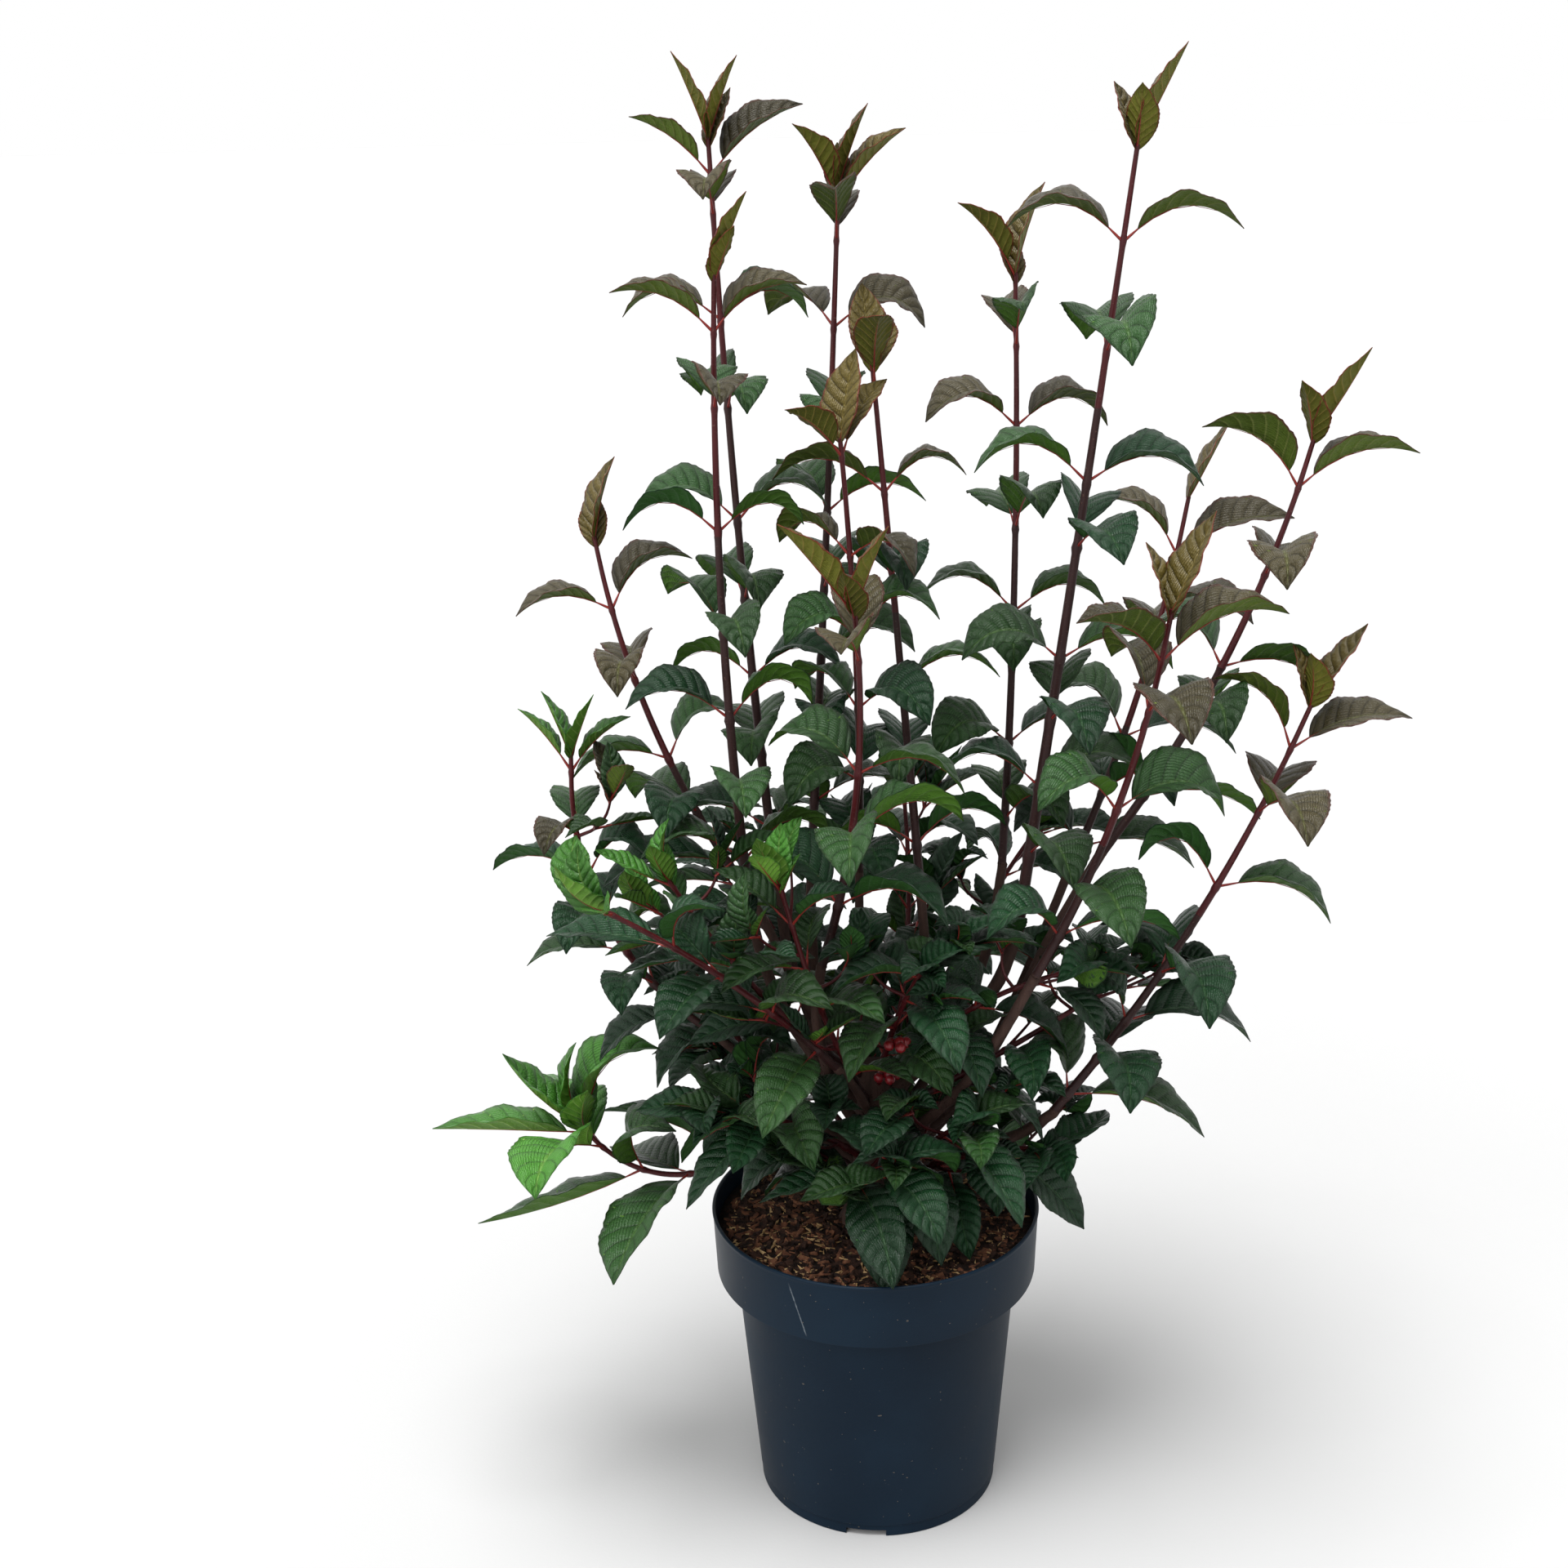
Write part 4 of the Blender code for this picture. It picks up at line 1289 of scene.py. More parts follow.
class Tree:
    """A geometry node tree with named inputs."""

    def __init__(self, name: str, inputs: dict[str, str]) -> None:
        """Makes the tree with a geometry input and output besides the named inputs.

        Args:
            name: The tree's name.
            inputs: The socket type of each input by its name.
        """
        self.group = bpy.data.node_groups.new(name, "GeometryNodeTree")
        face = self.group.interface
        face.new_socket("Geometry", in_out="INPUT", socket_type="NodeSocketGeometry")
        self.keys = {
            label: face.new_socket(label, in_out="INPUT", socket_type=kind).identifier
            for label, kind in inputs.items()
        }
        face.new_socket("Geometry", in_out="OUTPUT", socket_type="NodeSocketGeometry")
        self.source = self.group.nodes.new("NodeGroupInput")
        self.sink = self.group.nodes.new("NodeGroupOutput")

    def node(self, kind: str, inputs: dict[Any, Any], **options: Any) -> Any:
        """Adds a node.

        Args:
            kind: The node's type.
            inputs: What feeds each input, by name or number: a socket or a value.
            options: The node's own settings.

        Returns:
            The node.
        """
        node = self.group.nodes.new(kind)
        for key, value in options.items():
            setattr(node, key, value)
        for key, value in inputs.items():
            socket = node.inputs[key]
            if isinstance(value, bpy.types.NodeSocket):
                self.group.links.new(value, socket)
            else:
                socket.default_value = value
        return node

    def end(self, geometry: Any) -> None:
        """Ends the tree in realized, dressed geometry.

        Args:
            geometry: The socket that it ends in.
        """
        real = self.node("GeometryNodeRealizeInstances", {0: geometry})
        feeds = {"Geometry": real.outputs[0], "Material": self.source.outputs["Material"]}
        dressed = self.node("GeometryNodeSetMaterial", feeds)
        self.group.links.new(dressed.outputs[0], self.sink.inputs[0])

    def grow(self, host: Any, name: str, values: dict[str, Any]) -> Any:
        """Runs the tree on an object and keeps the result as a plain mesh.

        Args:
            host: The object that the tree starts from. It is removed.
            name: The new piece's name.
            values: The value of each named input.

        Returns:
            The new object.
        """
        modifier = host.modifiers.new("Grow", "NODES")
        modifier.node_group = self.group
        for label, value in values.items():
            modifier[self.keys[label]] = value
        bpy.context.view_layer.update()
        evaluated = host.evaluated_get(bpy.context.evaluated_depsgraph_get())
        mesh = bpy.data.meshes.new_from_object(evaluated)
        host.modifiers.remove(modifier)
        bpy.data.objects.remove(host, do_unlink=True)
        return show(name, mesh)


def show(name: str, mesh: Any) -> Any:
    """Links a mesh to the scene.

    Args:
        name: The new object's name.
        mesh: The mesh.

    Returns:
        The new object.
    """
    piece = bpy.data.objects.new(name, mesh)
    bpy.context.scene.collection.objects.link(piece)
    return piece


def settle(piece: Any, slot: str, *nodes: str) -> None:
    """Puts a finished piece on the plant's one body.

    Args:
        piece: The finished object.
        slot: The record's material slot. Not used.
        nodes: The CAD nodes that the piece stands for.
    """
    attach(piece, "root")
    if nodes:
        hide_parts(*nodes)
    LOG.info("%s: %d faces", piece.name, len(piece.data.polygons))


def plain_mesh(name: str, points: Any, faces: Any) -> Any:
    """A smooth-shaded mesh.

    Args:
        name: Its name.
        points: Its points.
        faces: Its faces, as numbers of points.

    Returns:
        The mesh.
    """
    mesh = bpy.data.meshes.new(name)
    mesh.from_pydata([tuple(point) for point in points], [], [tuple(face) for face in faces])
    mesh.polygons.foreach_set("use_smooth", [True] * len(mesh.polygons))
    mesh.update()
    return mesh


@dataclass
class Sweeps:
    """Round stems swept along lines by Geometry Nodes."""

    sides: int
    relief: float

    def tree(self) -> Tree:
        """Turns lines with a thickness into closed tubes with relief.

        Returns:
            The tree.
        """
        kinds = {"Sides": "NodeSocketInt", "Relief": "NodeSocketFloat", "Material": "NodeSocketMaterial"}
        tree = Tree("swept_stems", kinds)
        given = tree.source.outputs
        thick = tree.node("GeometryNodeInputNamedAttribute", {"Name": "thick"}, data_type="FLOAT")
        lines = tree.node("GeometryNodeMeshToCurve", {0: given["Geometry"]})
        feeds = {"Curve": lines.outputs[0], "Radius": thick.outputs[0]}
        sized = tree.node("GeometryNodeSetCurveRadius", feeds)
        ring = tree.node("GeometryNodeCurvePrimitiveCircle", {"Resolution": given["Sides"], "Radius": 1.0})
        feeds = {0: sized.outputs[0], 1: ring.outputs[0], "Fill Caps": True}
        swept = tree.node("GeometryNodeCurveToMesh", feeds)
        if "Scale" in swept.inputs:
            radius = tree.node("GeometryNodeInputRadius", {})
            tree.group.links.new(radius.outputs[0], swept.inputs["Scale"])
        noise = tree.node("ShaderNodeTexNoise", {"Scale": 140.0, "Detail": 3.0})
        centred = tree.node("ShaderNodeMath", {0: noise.outputs[0], 1: 0.5}, operation="SUBTRACT")
        feeds = {0: centred.outputs[0], 1: given["Relief"]}
        depth = tree.node("ShaderNodeMath", feeds, operation="MULTIPLY")
        normal = tree.node("GeometryNodeInputNormal", {})
        push = tree.node("ShaderNodeVectorMath", {0: normal.outputs[0]}, operation="SCALE")
        tree.group.links.new(depth.outputs[0], push.inputs["Scale"])
        feeds = {"Geometry": swept.outputs[0], "Offset": push.outputs[0]}
        moved = tree.node("GeometryNodeSetPosition", feeds)
        smooth = tree.node("GeometryNodeSetShadeSmooth", {0: moved.outputs[0]})
        tree.end(smooth.outputs[0])
        return tree

    def build(self, name: str, lines: list[Line], material: Any) -> Any:
        """Sweeps all the lines into one piece.

        Args:
            name: The piece's name.
            lines: The points and radii of each line.
            material: What the piece is dressed in.

        Returns:
            The new object.
        """
        points = [tuple(point) for path, _ in lines for point in path]
        radii = [radius for _, thick in lines for radius in thick]
        starts_at = list(itertools.accumulate((len(path) for path, _ in lines), initial=0))
        edges = [(i, i + 1) for a, b in zip(starts_at, starts_at[1:]) for i in range(a, b - 1)]
        mesh = bpy.data.meshes.new(name + "_lines")
        mesh.from_pydata(points, edges, [])
        mesh.attributes.new("thick", "FLOAT", "POINT").data.foreach_set("value", radii)
        values = {"Sides": self.sides, "Relief": self.relief, "Material": material}
        return self.tree().grow(show(name + "_lines", mesh), name, values)


def smooth_line(path: Sequence[Vector], per_span: int) -> list[Vector]:
    """A smooth line through the points of a path.

    Args:
        path: The path.
        per_span: Steps between each two points.

    Returns:
        The line's points.
    """
    ends = [2 * path[0] - path[1], *path, 2 * path[-1] - path[-2]]
    line = []
    for a, b, c, d in zip(ends, ends[1:], ends[2:], ends[3:]):
        for step in range(per_span):
            t = step / per_span
            square, cube = 2 * a - 5 * b + 4 * c - d, 3 * b - a - 3 * c + d
            line.append(0.5 * (2 * b + (c - a) * t + square * t**2 + cube * t**3))
    return [*line, path[-1].copy()]


@dataclass
class Wood:
    """The main stem, boughs, shoots, twigs and leaf stalks."""

    routes: list[Route]
    grown: list[Grown]
    young_length: float = 0.20
    node_swell: float = 0.30
    node_reach: float = 0.0028
    stalk_thick: float = 0.0013
    stalk_thin: float = 0.0007
    stalk_waist: float = 0.55
    midrib_shares: tuple[float, ...] = (0.14, 0.32, 0.52, 0.74)
    midrib_sink: float = 0.0004

    def stem_line(
        self, axis: Axis, gaps: Sequence[float], spans: int
    ) -> tuple[list[Vector], list[float], list[float]]:
        """One stem, swollen a little at each pair of leaves.

        Args:
            axis: The stem.
            gaps: Centimetres from each pair down to the next, the last of which repeats.
            spans: Steps between each two points of its path.

        Returns:
            Its points, its radii and how far each is below the tip.
        """
        line = smooth_line(axis.path, spans)
        steps = [(a - b).length for a, b in zip(line, line[1:])]
        below = [sum(steps[i:]) for i in range(len(line))]
        places = pair_places(gaps, axis.length)
        radii = []
        for mark in below:
            swell = sum(math.exp(-(((mark - place) / self.node_reach) ** 2)) for place in places)
            radii.append(axis.radius(min(mark, axis.length)) * (1 + self.node_swell * min(1.0, swell)))
        return line, radii, below

    def stalk(self, leaf: Leaf) -> Line:
        """One leaf stalk, which runs on as a midrib under the blade.

        Args:
            leaf: The leaf.

        Returns:
            Its points and radii.
        """
        foot = leaf.root + leaf.start * leaf.petiole
        points = [leaf.root, leaf.root.lerp(foot, self.stalk_waist), foot]
        radii = [self.stalk_thick, 0.85 * self.stalk_thick, self.stalk_thin]
        for share in self.midrib_shares:
            place, way = midrib(leaf, share)
            side = leaf.out.cross(UP)
            side = (side - way * side.dot(way)).normalized()
            side.rotate(Matrix.Rotation(leaf.roll, 3, way))
            points.append(place - side.cross(way) * self.midrib_sink)
            radii.append(self.stalk_thin * (0.95 - share))
        return (points, radii) if leaf.petiole else (points[2:], radii[2:])

    def trunk(self) -> Line:
        """The line of the main stem, flared at the mulch.

        Returns:
            Its points and radii.
        """
        foot = MULCH_TOP + CLEAR
        rings = (
            (0.0, FLARE_RADIUS),
            (0.04, 0.9 * FLARE_RADIUS),
            (0.12, 1.2 * STEM_RADIUS),
            (0.3, 1.02 * STEM_RADIUS),
            (0.6, 0.95 * STEM_RADIUS),
            (0.85, 0.82 * STEM_RADIUS),
            (1.0, 0.66 * STEM_RADIUS),
        )
        path = [Vector((0, 0, foot + share * (STEM_TOP - foot))) for share, _ in rings]
        marks = np.linspace(0, len(rings) - 1, 4 * len(rings) - 3)
        return smooth_line(path, 4), list(np.interp(marks, range(len(rings)), [r for _, r in rings]))

    def build(self) -> None:
        """Builds the woody base, the shoots, their young ends and the leaf stalks."""
        shoots, ends, stalks = [], [], []
        woody = [self.trunk()]
        for (shoot, axis, bough), (twigs, leaves) in zip(self.routes, self.grown):
            if bough:
                line = smooth_line([*bough, axis.path[0]], 5)
                shares = np.linspace(BOUGH_FLARE, 1.0, len(line))
                woody.append((line, [axis.thick * float(share) for share in shares]))
            line, radii, below = self.stem_line(axis, shoot.gaps, 18)
            last = len(line) - 2
            cut = next(i for i, mark in enumerate(below) if mark <= self.young_length or i == last)
            if cut > 1:
                shoots.append((line[: cut + 1], radii[: cut + 1]))
            ends.append((line[cut:], radii[cut:]))
            for twig in twigs:
                path = smooth_line(twig.path, 3)
                thick = np.linspace(twig.thick, twig.thin, len(path))
                ends.append((path, [float(radius) for radius in thick]))
            stalks += [self.stalk(leaf) for leaf in leaves]
        limbs = [shoot.name + "_bough" for shoot, _, bough in self.routes if bough]
        masses = [shoot.name + "_foliage" for shoot, _, _ in self.routes]
        pieces = (
            ("woody_base", "stem_bark", Bark.WOODY, 12, 0.0016, woody, ("main_stem", *limbs)),
            ("shoot_stems", "stem_bark", Bark.SHOOT, 8, 0.0003, shoots, ()),
            ("young_stems", "stem_bark", Bark.YOUNG, 7, 0.0002, ends, masses),
            ("leaf_stalks", "foliage", Bark.STALK, 5, 0.0, stalks, ()),
        )
        skins = {bark: bark.value.material() for bark in Bark}
        for name, slot, bark, sides, relief, lines, nodes in pieces:
            settle(Sweeps(sides, relief).build(name, lines, skins[bark]), slot, *nodes)


@dataclass
class Foliage:
    """Every leaf as a thin closed blade with a toothed margin, dealt out to pieces by tint."""

    routes: list[Route]
    grown: list[Grown]
    rows: int = 32
    columns: int = 6
    thick: float = 0.00045
    bulge: float = 0.12
    tooth: float = 0.028
    pleats: float = 0.0017
    spread: float = 1.08
    crowding: float = 0.95  # power that draws the rows a little towards the tip
    narrowest: float = 0.022
    twist: float = 0.25
    flatter: float = 0.35  # share of the fold that is gone at the tip
    cup: float = 1.15
    ripples: float = 3.1
    ripple: float = 0.014
    most_leaves: int = 200
    seed: int = 7
    green_shoots: tuple[str, ...] = ("rim_left", "young_left", "young_front", "front_left")
    fresh_tip: float = 0.035
    bronze_tip: float = 0.025
    dusky_reach: float = 0.14
    dusky_height: float = 0.6
    top_height: float = 0.9
    mid_height: float = 0.58

    def tint(self, shoot: Shoot, axis: Axis, leaf: Leaf, chance: random.Random) -> Tint:
        """Chooses the kind of a leaf, by its shoot, how far it is below the shoot's tip and its height. Low
        leaves mostly get the darker DEEP tint: partly older leaves, partly painted shade under the crown.

        Args:
            shoot: The shoot that it belongs to.
            axis: The shoot's axis.
            leaf: The leaf.
            chance: Where its small differences come from.

        Returns:
            Its tint.
        """
        below = (axis.path[-1] - leaf.root).length
        height = leaf.root.z
        if shoot.name in self.green_shoots:
            if below < self.fresh_tip:
                return Tint.FRESH
            return Tint.MID if chance.random() < 0.5 else Tint.DEEP
        # painted shade in part: the low shoots under the crown mostly get the darker DEEP tint
        if shoot.trunk:
            return Tint.DEEP if chance.random() < 0.86 else Tint.MID
        if below < self.bronze_tip:
            return Tint.FRESH if shoot.name == "low_left" else Tint.BRONZE
        if below < self.dusky_reach and height > self.dusky_height:
            dusky = 0.9 if height > self.top_height else 0.75
            return Tint.DUSKY if chance.random() < dusky else Tint.MID
        # painted shade in part: below mid_height most leaves get the darker DEEP tint, besides being older
        if height > self.mid_height:
            return Tint.MID if chance.random() < 0.72 else Tint.DEEP
        return Tint.DEEP if chance.random() < 0.72 else Tint.MID

    def outline(self, along: Any) -> Any:
        """The blade's outline, from stalk to drawn-out tip.

        Args:
            along: Shares of the blade's length.

        Returns:
            Its half width there, as a share of its greatest.
        """
        curve = along**0.8 * (1 - along) ** 1.05 / (0.432**0.8 * 0.568**1.05)
        teeth = 1 - self.tooth * (np.arange(len(along)) % 2) * np.minimum(1, 6 * along * (1 - along))
        return np.maximum(curve * teeth, self.narrowest)

    def blade(self, leaf: Leaf, chance: random.Random) -> tuple[Any, Any, Any]:
        """One leaf's points.

        Args:
            leaf: The leaf.
            chance: Where its small differences come from.

        Returns:
            The upper side's points, the underside's, and the shares along and across.
        """
        u = np.linspace(0, 1, self.rows + 1) ** self.crowding
        v = np.linspace(-1, 1, self.columns + 1)
        foot = np.array(leaf.root + leaf.start * leaf.petiole)
        start, end = np.array(leaf.start), np.array(leaf.end)
        knee = foot + start * (0.5 * leaf.blade)
        tip = knee + end * (0.5 * leaf.blade)
        a, b, c = (1 - u) ** 2, 2 * u * (1 - u), u**2
        place = np.outer(a, foot) + np.outer(b, knee) + np.outer(c, tip)
        way = np.outer(1 - u, start) + np.outer(u, end)
        way /= np.linalg.norm(way, axis=1)[:, None]
        level = np.array(leaf.out.cross(UP))
        side = level - way * (way @ level)[:, None]
        side /= np.linalg.norm(side, axis=1)[:, None]
        turn = leaf.roll + chance.uniform(-self.twist, self.twist) * u
        side = side * np.cos(turn)[:, None] + np.cross(way, side) * np.sin(turn)[:, None]
        face = np.cross(side, way)
        half = 0.5 * LEAF_WIDTH * self.spread * leaf.blade * self.outline(u)
        fold = leaf.fold * (1 - self.flatter * u)
        reach = np.outer(half * np.cos(fold), v)
        lift = np.outer(half * np.sin(fold), np.abs(v) ** self.cup)
        lift += self.bulge * np.outer(half, np.sin(np.pi * np.abs(v)))
        waves = LeafFinish.veins * u[:, None] - LeafFinish.slant * np.abs(v)[None, :]
        pleat = np.abs((waves % 1.0) - 0.5) - 0.25
        off_midrib, off_ends = np.minimum(1, np.abs(v) * 3), np.minimum(1, 5 * u * (1 - u))
        lift -= self.pleats * pleat * off_midrib[None, :] * off_ends[:, None]
        ripple = np.sin(2 * np.pi * (self.ripples * u + chance.random())) * leaf.blade * self.ripple
        lift += np.outer(ripple * np.minimum(1, 4 * u * (1 - u)), v**2 * np.sign(v))
        upper = place[:, None, :] + reach[:, :, None] * side[:, None, :]
        upper = upper + lift[:, :, None] * face[:, None, :]
        under = upper - self.thick * face[:, None, :]
        shares = np.stack(np.broadcast_arrays(u[:, None], v[None, :]), axis=-1)
        return upper.reshape(-1, 3), under.reshape(-1, 3), shares.reshape(-1, 2)

    def faces(self) -> tuple[Any, Any]:
        """The faces of one leaf.

        Returns:
            Those of the upper side, and those of the underside and the rim.
        """
        wide = self.columns + 1
        total = wide * (self.rows + 1)
        upper = [
            (r * wide + c, r * wide + c + 1, (r + 1) * wide + c + 1, (r + 1) * wide + c)
            for r in range(self.rows)
            for c in range(self.columns)
        ]
        under = [tuple(i + total for i in face[::-1]) for face in upper]
        rim = [*range(wide)] + [r * wide + self.columns for r in range(1, self.rows + 1)]
        rim += [self.rows * wide + c for c in range(self.columns - 1, -1, -1)]
        rim += [r * wide for r in range(self.rows - 1, 0, -1)]
        under += [(b, a, a + total, b + total) for a, b in zip(rim, rim[1:] + rim[:1])]
        return np.array(upper), np.array(under)

    def piece(self, name: str, tint: Tint, leaves: list[Leaf], chance: random.Random) -> Any:
        """Joins leaves of one tint.

        Args:
            name: The piece's name.
            tint: Their tint.
            leaves: The leaves.
            chance: Where its small differences come from.

        Returns:
            The new object.
        """
        upper_faces, under_faces = self.faces()
        points, marks, quads, slots = [], [], [], []
        count = 0
        for leaf in leaves:
            upper, under, shares = self.blade(leaf, chance)
            tone = np.full((len(shares), 1), chance.random())
            points += [upper, under]
            marks += [np.hstack([shares, tone])] * 2
            quads += [upper_faces + count, under_faces + count]
            slots += [0] * len(upper_faces) + [1] * len(under_faces)
            count += 2 * len(upper)
        mesh = plain_mesh(name, np.vstack(points), np.vstack(quads))
        blade = mesh.attributes.new("blade", "FLOAT_VECTOR", "POINT")
        blade.data.foreach_set("vector", np.vstack(marks).ravel())
        for side in Side:
            mesh.materials.append(self.skins[tint, side])
        mesh.polygons.foreach_set("material_index", slots)
        return show(name, mesh)

    def build(self) -> None:
        """Deals the leaves out by tint and builds the pieces."""
        self.skins = {(tint, side): tint.value.material(side) for tint in Tint for side in Side}
        chance = random.Random(self.seed)
        dealt: dict[Tint, list[Leaf]] = {tint: [] for tint in Tint}
        for (shoot, axis, _), (_, leaves) in zip(self.routes, self.grown):
            for leaf in leaves:
                dealt[self.tint(shoot, axis, leaf, chance)].append(leaf)
        for tint, leaves in dealt.items():
            for part, start in enumerate(range(0, len(leaves), self.most_leaves)):
                some = leaves[start : start + self.most_leaves]
                name = f"leaves_{tint.value.name}_{part + 1}"
                settle(self.piece(name, tint, some, chance), "foliage")
        LOG.info("%d leaves", sum(len(leaves) for leaves in dealt.values()))


@dataclass
class Fruit:
    """Two small clusters of dark red berries on the low front shoot."""

    routes: list[Route]
    radius: float = 0.0044
    count: int = 5
    spread: float = 0.0085
    turn_step: float = 2.4
    hang: Triple = (0.004, -0.020, -0.004)
    seed: int = 5

    def build(self) -> None:
        """Builds the berries, each a little sphere with a dimple."""
        points, faces, chance = [], [], random.Random(self.seed)
        for shoot, axis, _ in self.routes:
            for share in (shoot.fruit, 1.5 * shoot.fruit) if shoot.fruit else ():
                root, _ = axis.at(share * axis.length)
                middle = root + Vector(self.hang)
                for number in range(self.count):
                    turn = self.turn_step * number
                    way = Vector((math.cos(turn), 0.6 * math.sin(turn), -0.3))
                    place = middle + way * (self.spread if number else 0.0)
                    self.berry(place, self.radius * chance.uniform(0.85, 1.1), points, faces)
        finish = Graph("berry_skin")
        colour = finish.mix(finish.noise(260.0), linear(84, 12, 20), linear(146, 26, 34))
        mesh = plain_mesh("berries", points, faces)
        mesh.materials.append(finish.finish(colour, 0.28, finish.noise(700.0), 0.0002, 0.5))
        settle(show("berries", mesh), "foliage")

    def berry(
        self, middle: Vector, radius: float, points: list[Vector], faces: list[tuple[int, ...]]
    ) -> None:
        """Adds one berry.

        Args:
            middle: Its middle.
            radius: Its radius.
            points: The points, which this adds to.
            faces: The faces, which this adds to.
        """
        base, rings, sides = len(points), 7, 12
        points.append(middle + UP * radius)
        for ring in range(1, rings):
            lean = math.pi * ring / rings
            for side in range(sides):
                turn = math.tau * side / sides
                level = Vector((math.cos(turn), math.sin(turn), 0.0)) * math.sin(lean)
                points.append(middle + (level + UP * math.cos(lean)) * radius)
        points.append(middle - UP * (0.8 * radius))
        last = len(points) - 1
        for side in range(sides):
            after = (side + 1) % sides
            faces.append((base, base + 1 + side, base + 1 + after))
            low = base + 1 + (rings - 2) * sides
            faces.append((low + after, low + side, last))
            for ring in range(rings - 2):
                row = base + 1 + ring * sides
                faces.append((row + side, row + sides + side, row + sides + after, row + after))


@dataclass
class Pot:
    """The round nursery pot, turned from one outline, with notches cut in its foot ring."""

    steps: int = 144
    lip: float = 0.0016

    def outline(self) -> list[tuple[float, float]]:
        """The outline, from the middle of the underside round to the inside.

        Returns:
            Its corners as radius and height.
        """
        collar = POT_HEIGHT - COLLAR_HEIGHT
        body = [(body_radius(z), z) for z in np.linspace(FOOT_BAND + 0.001, collar - 0.002, 9)]
        arc = [
            (RIM_RADIUS - self.lip + self.lip * math.cos(t), POT_HEIGHT - self.lip + self.lip * math.sin(t))
            for t in np.linspace(-0.6, math.pi * 0.95, 8)
        ]
        return [
            (0.0, 0.0),
            (PAD_RADIUS, 0.0),
            (PAD_RADIUS + 0.001, BASE_LIFT),
            (FOOT_RADIUS - RING_WIDTH - 0.001, BASE_LIFT),
            (FOOT_RADIUS - RING_WIDTH, 0.0),
            (FOOT_RADIUS - 0.0006, 0.0),
            (FOOT_RADIUS, 0.0006),
            (FOOT_RADIUS, FOOT_BAND),
            *body,
            (COLLAR_FOOT_RADIUS - 0.0014, collar + 0.0001),
            (COLLAR_FOOT_RADIUS - 0.0003, collar + 0.0008),
            (COLLAR_FOOT_RADIUS, collar + 0.002),
            (RIM_RADIUS - 0.0008, POT_HEIGHT - 0.005),
            *arc,
            (COLLAR_FOOT_RADIUS - WALL, collar + 0.02),
            (COLLAR_FOOT_RADIUS - WALL - 0.0006, collar + WALL + 0.001),
            (body_radius(collar) - WALL, collar + 0.001),
            (body_radius(FLOOR) - WALL - 0.002, FLOOR),
            (0.0, FLOOR),
        ]

    def build(self) -> None:
        """Turns the outline, cuts the notches and dresses the pot."""
        outline = self.outline()
        inner = outline[1:-1]
        points = [Vector((0, 0, outline[0][1]))]
        for step in range(self.steps):
            turn = math.tau * step / self.steps
            points += [Vector((r * math.cos(turn), r * math.sin(turn), z)) for r, z in inner]
        points.append(Vector((0, 0, outline[-1][1])))
        size, last, faces = len(inner), len(points) - 1, []
        for step in range(self.steps):
            a, b = 1 + step * size, 1 + (step + 1) % self.steps * size
            faces.append((0, b, a))
            faces += [(a + i, b + i, b + i + 1, a + i + 1) for i in range(size - 1)]
            faces.append((a + size - 1, b + size - 1, last))
        shell = show("pot_turned", plain_mesh("pot_turned", points, faces))
        group = bpy.data.collections.new("pot_notches")
        bpy.context.scene.collection.children.link(group)
        for number in range(NOTCHES):
            group.objects.link(self.notch(math.radians(NOTCH_TURN) + number * math.tau / NOTCHES))
        cut = shell.modifiers.new("Notches", "BOOLEAN")
        cut.operation, cut.solver = "DIFFERENCE", "EXACT"
        cut.operand_type, cut.collection = "COLLECTION", group
        bpy.context.view_layer.update()
        evaluated = shell.evaluated_get(bpy.context.evaluated_depsgraph_get())
        mesh = bpy.data.meshes.new_from_object(evaluated)
        for spent in (*group.objects, shell):
            bpy.data.objects.remove(spent, do_unlink=True)
        bpy.data.collections.remove(group)
        mesh.materials.clear()
        mesh.materials.append(PotFinish().material())
        mesh.polygons.foreach_set("use_smooth", [True] * len(mesh.polygons))
        mesh.set_sharp_from_angle(angle=math.radians(32))
        settle(show("pot_shell", mesh), "pot_plastic", "pot")

    def notch(self, turn: float) -> Any:
        """A box that cuts one notch of the foot ring.

        Args:
            turn: Its bearing.

        Returns:
            The box.
        """
        points, spin = [], Matrix.Rotation(turn, 3, "Z")
        for x, y, z in itertools.product((-1, 1), repeat=3):
            corner = Vector((FOOT_RADIUS + 1.5 * RING_WIDTH * x, 0.5 * NOTCH_WIDTH * y, NOTCH_HEIGHT * z))
            points.append(spin @ corner)
        faces = [(0, 1, 3, 2), (4, 6, 7, 5), (0, 4, 5, 1), (2, 3, 7, 6), (0, 2, 6, 4), (1, 5, 7, 3)]
        mesh = bpy.data.meshes.new("pot_notch")
        mesh.from_pydata([tuple(point) for point in points], [], faces)
        return bpy.data.objects.new("pot_notch", mesh)


@dataclass(frozen=True)
class Flake:
    """One kind of flake on the mulch. Its density is how many lie on a square metre."""

    name: str
    corners: int
    least: Triple
    most: Triple
    tilt: float
    density: float
    dark: Colour
    light: Colour


FLAKES = (
    Flake(
        name="bark_flakes_dark",
        corners=5,
        least=(0.004, 0.003, 0.001),
        most=(0.015, 0.008, 0.003),
        tilt=0.45,
        density=26000.0,
        dark=linear(26, 16, 13),
        light=linear(62, 42, 34),
    ),
    Flake(
        name="bark_flakes_red",
        corners=5,
        least=(0.004, 0.0025, 0.001),
        most=(0.015, 0.008, 0.0025),
        tilt=0.55,
        density=15000.0,
        dark=linear(76, 46, 34),
        light=linear(122, 82, 60),
    ),
    Flake(
        name="straw_slivers",
        corners=4,
        least=(0.007, 0.0013, 0.0008),
        most=(0.018, 0.003, 0.0014),
        tilt=0.3,
        density=12000.0,
        dark=linear(140, 108, 72),
        light=linear(196, 164, 118),
    ),
)


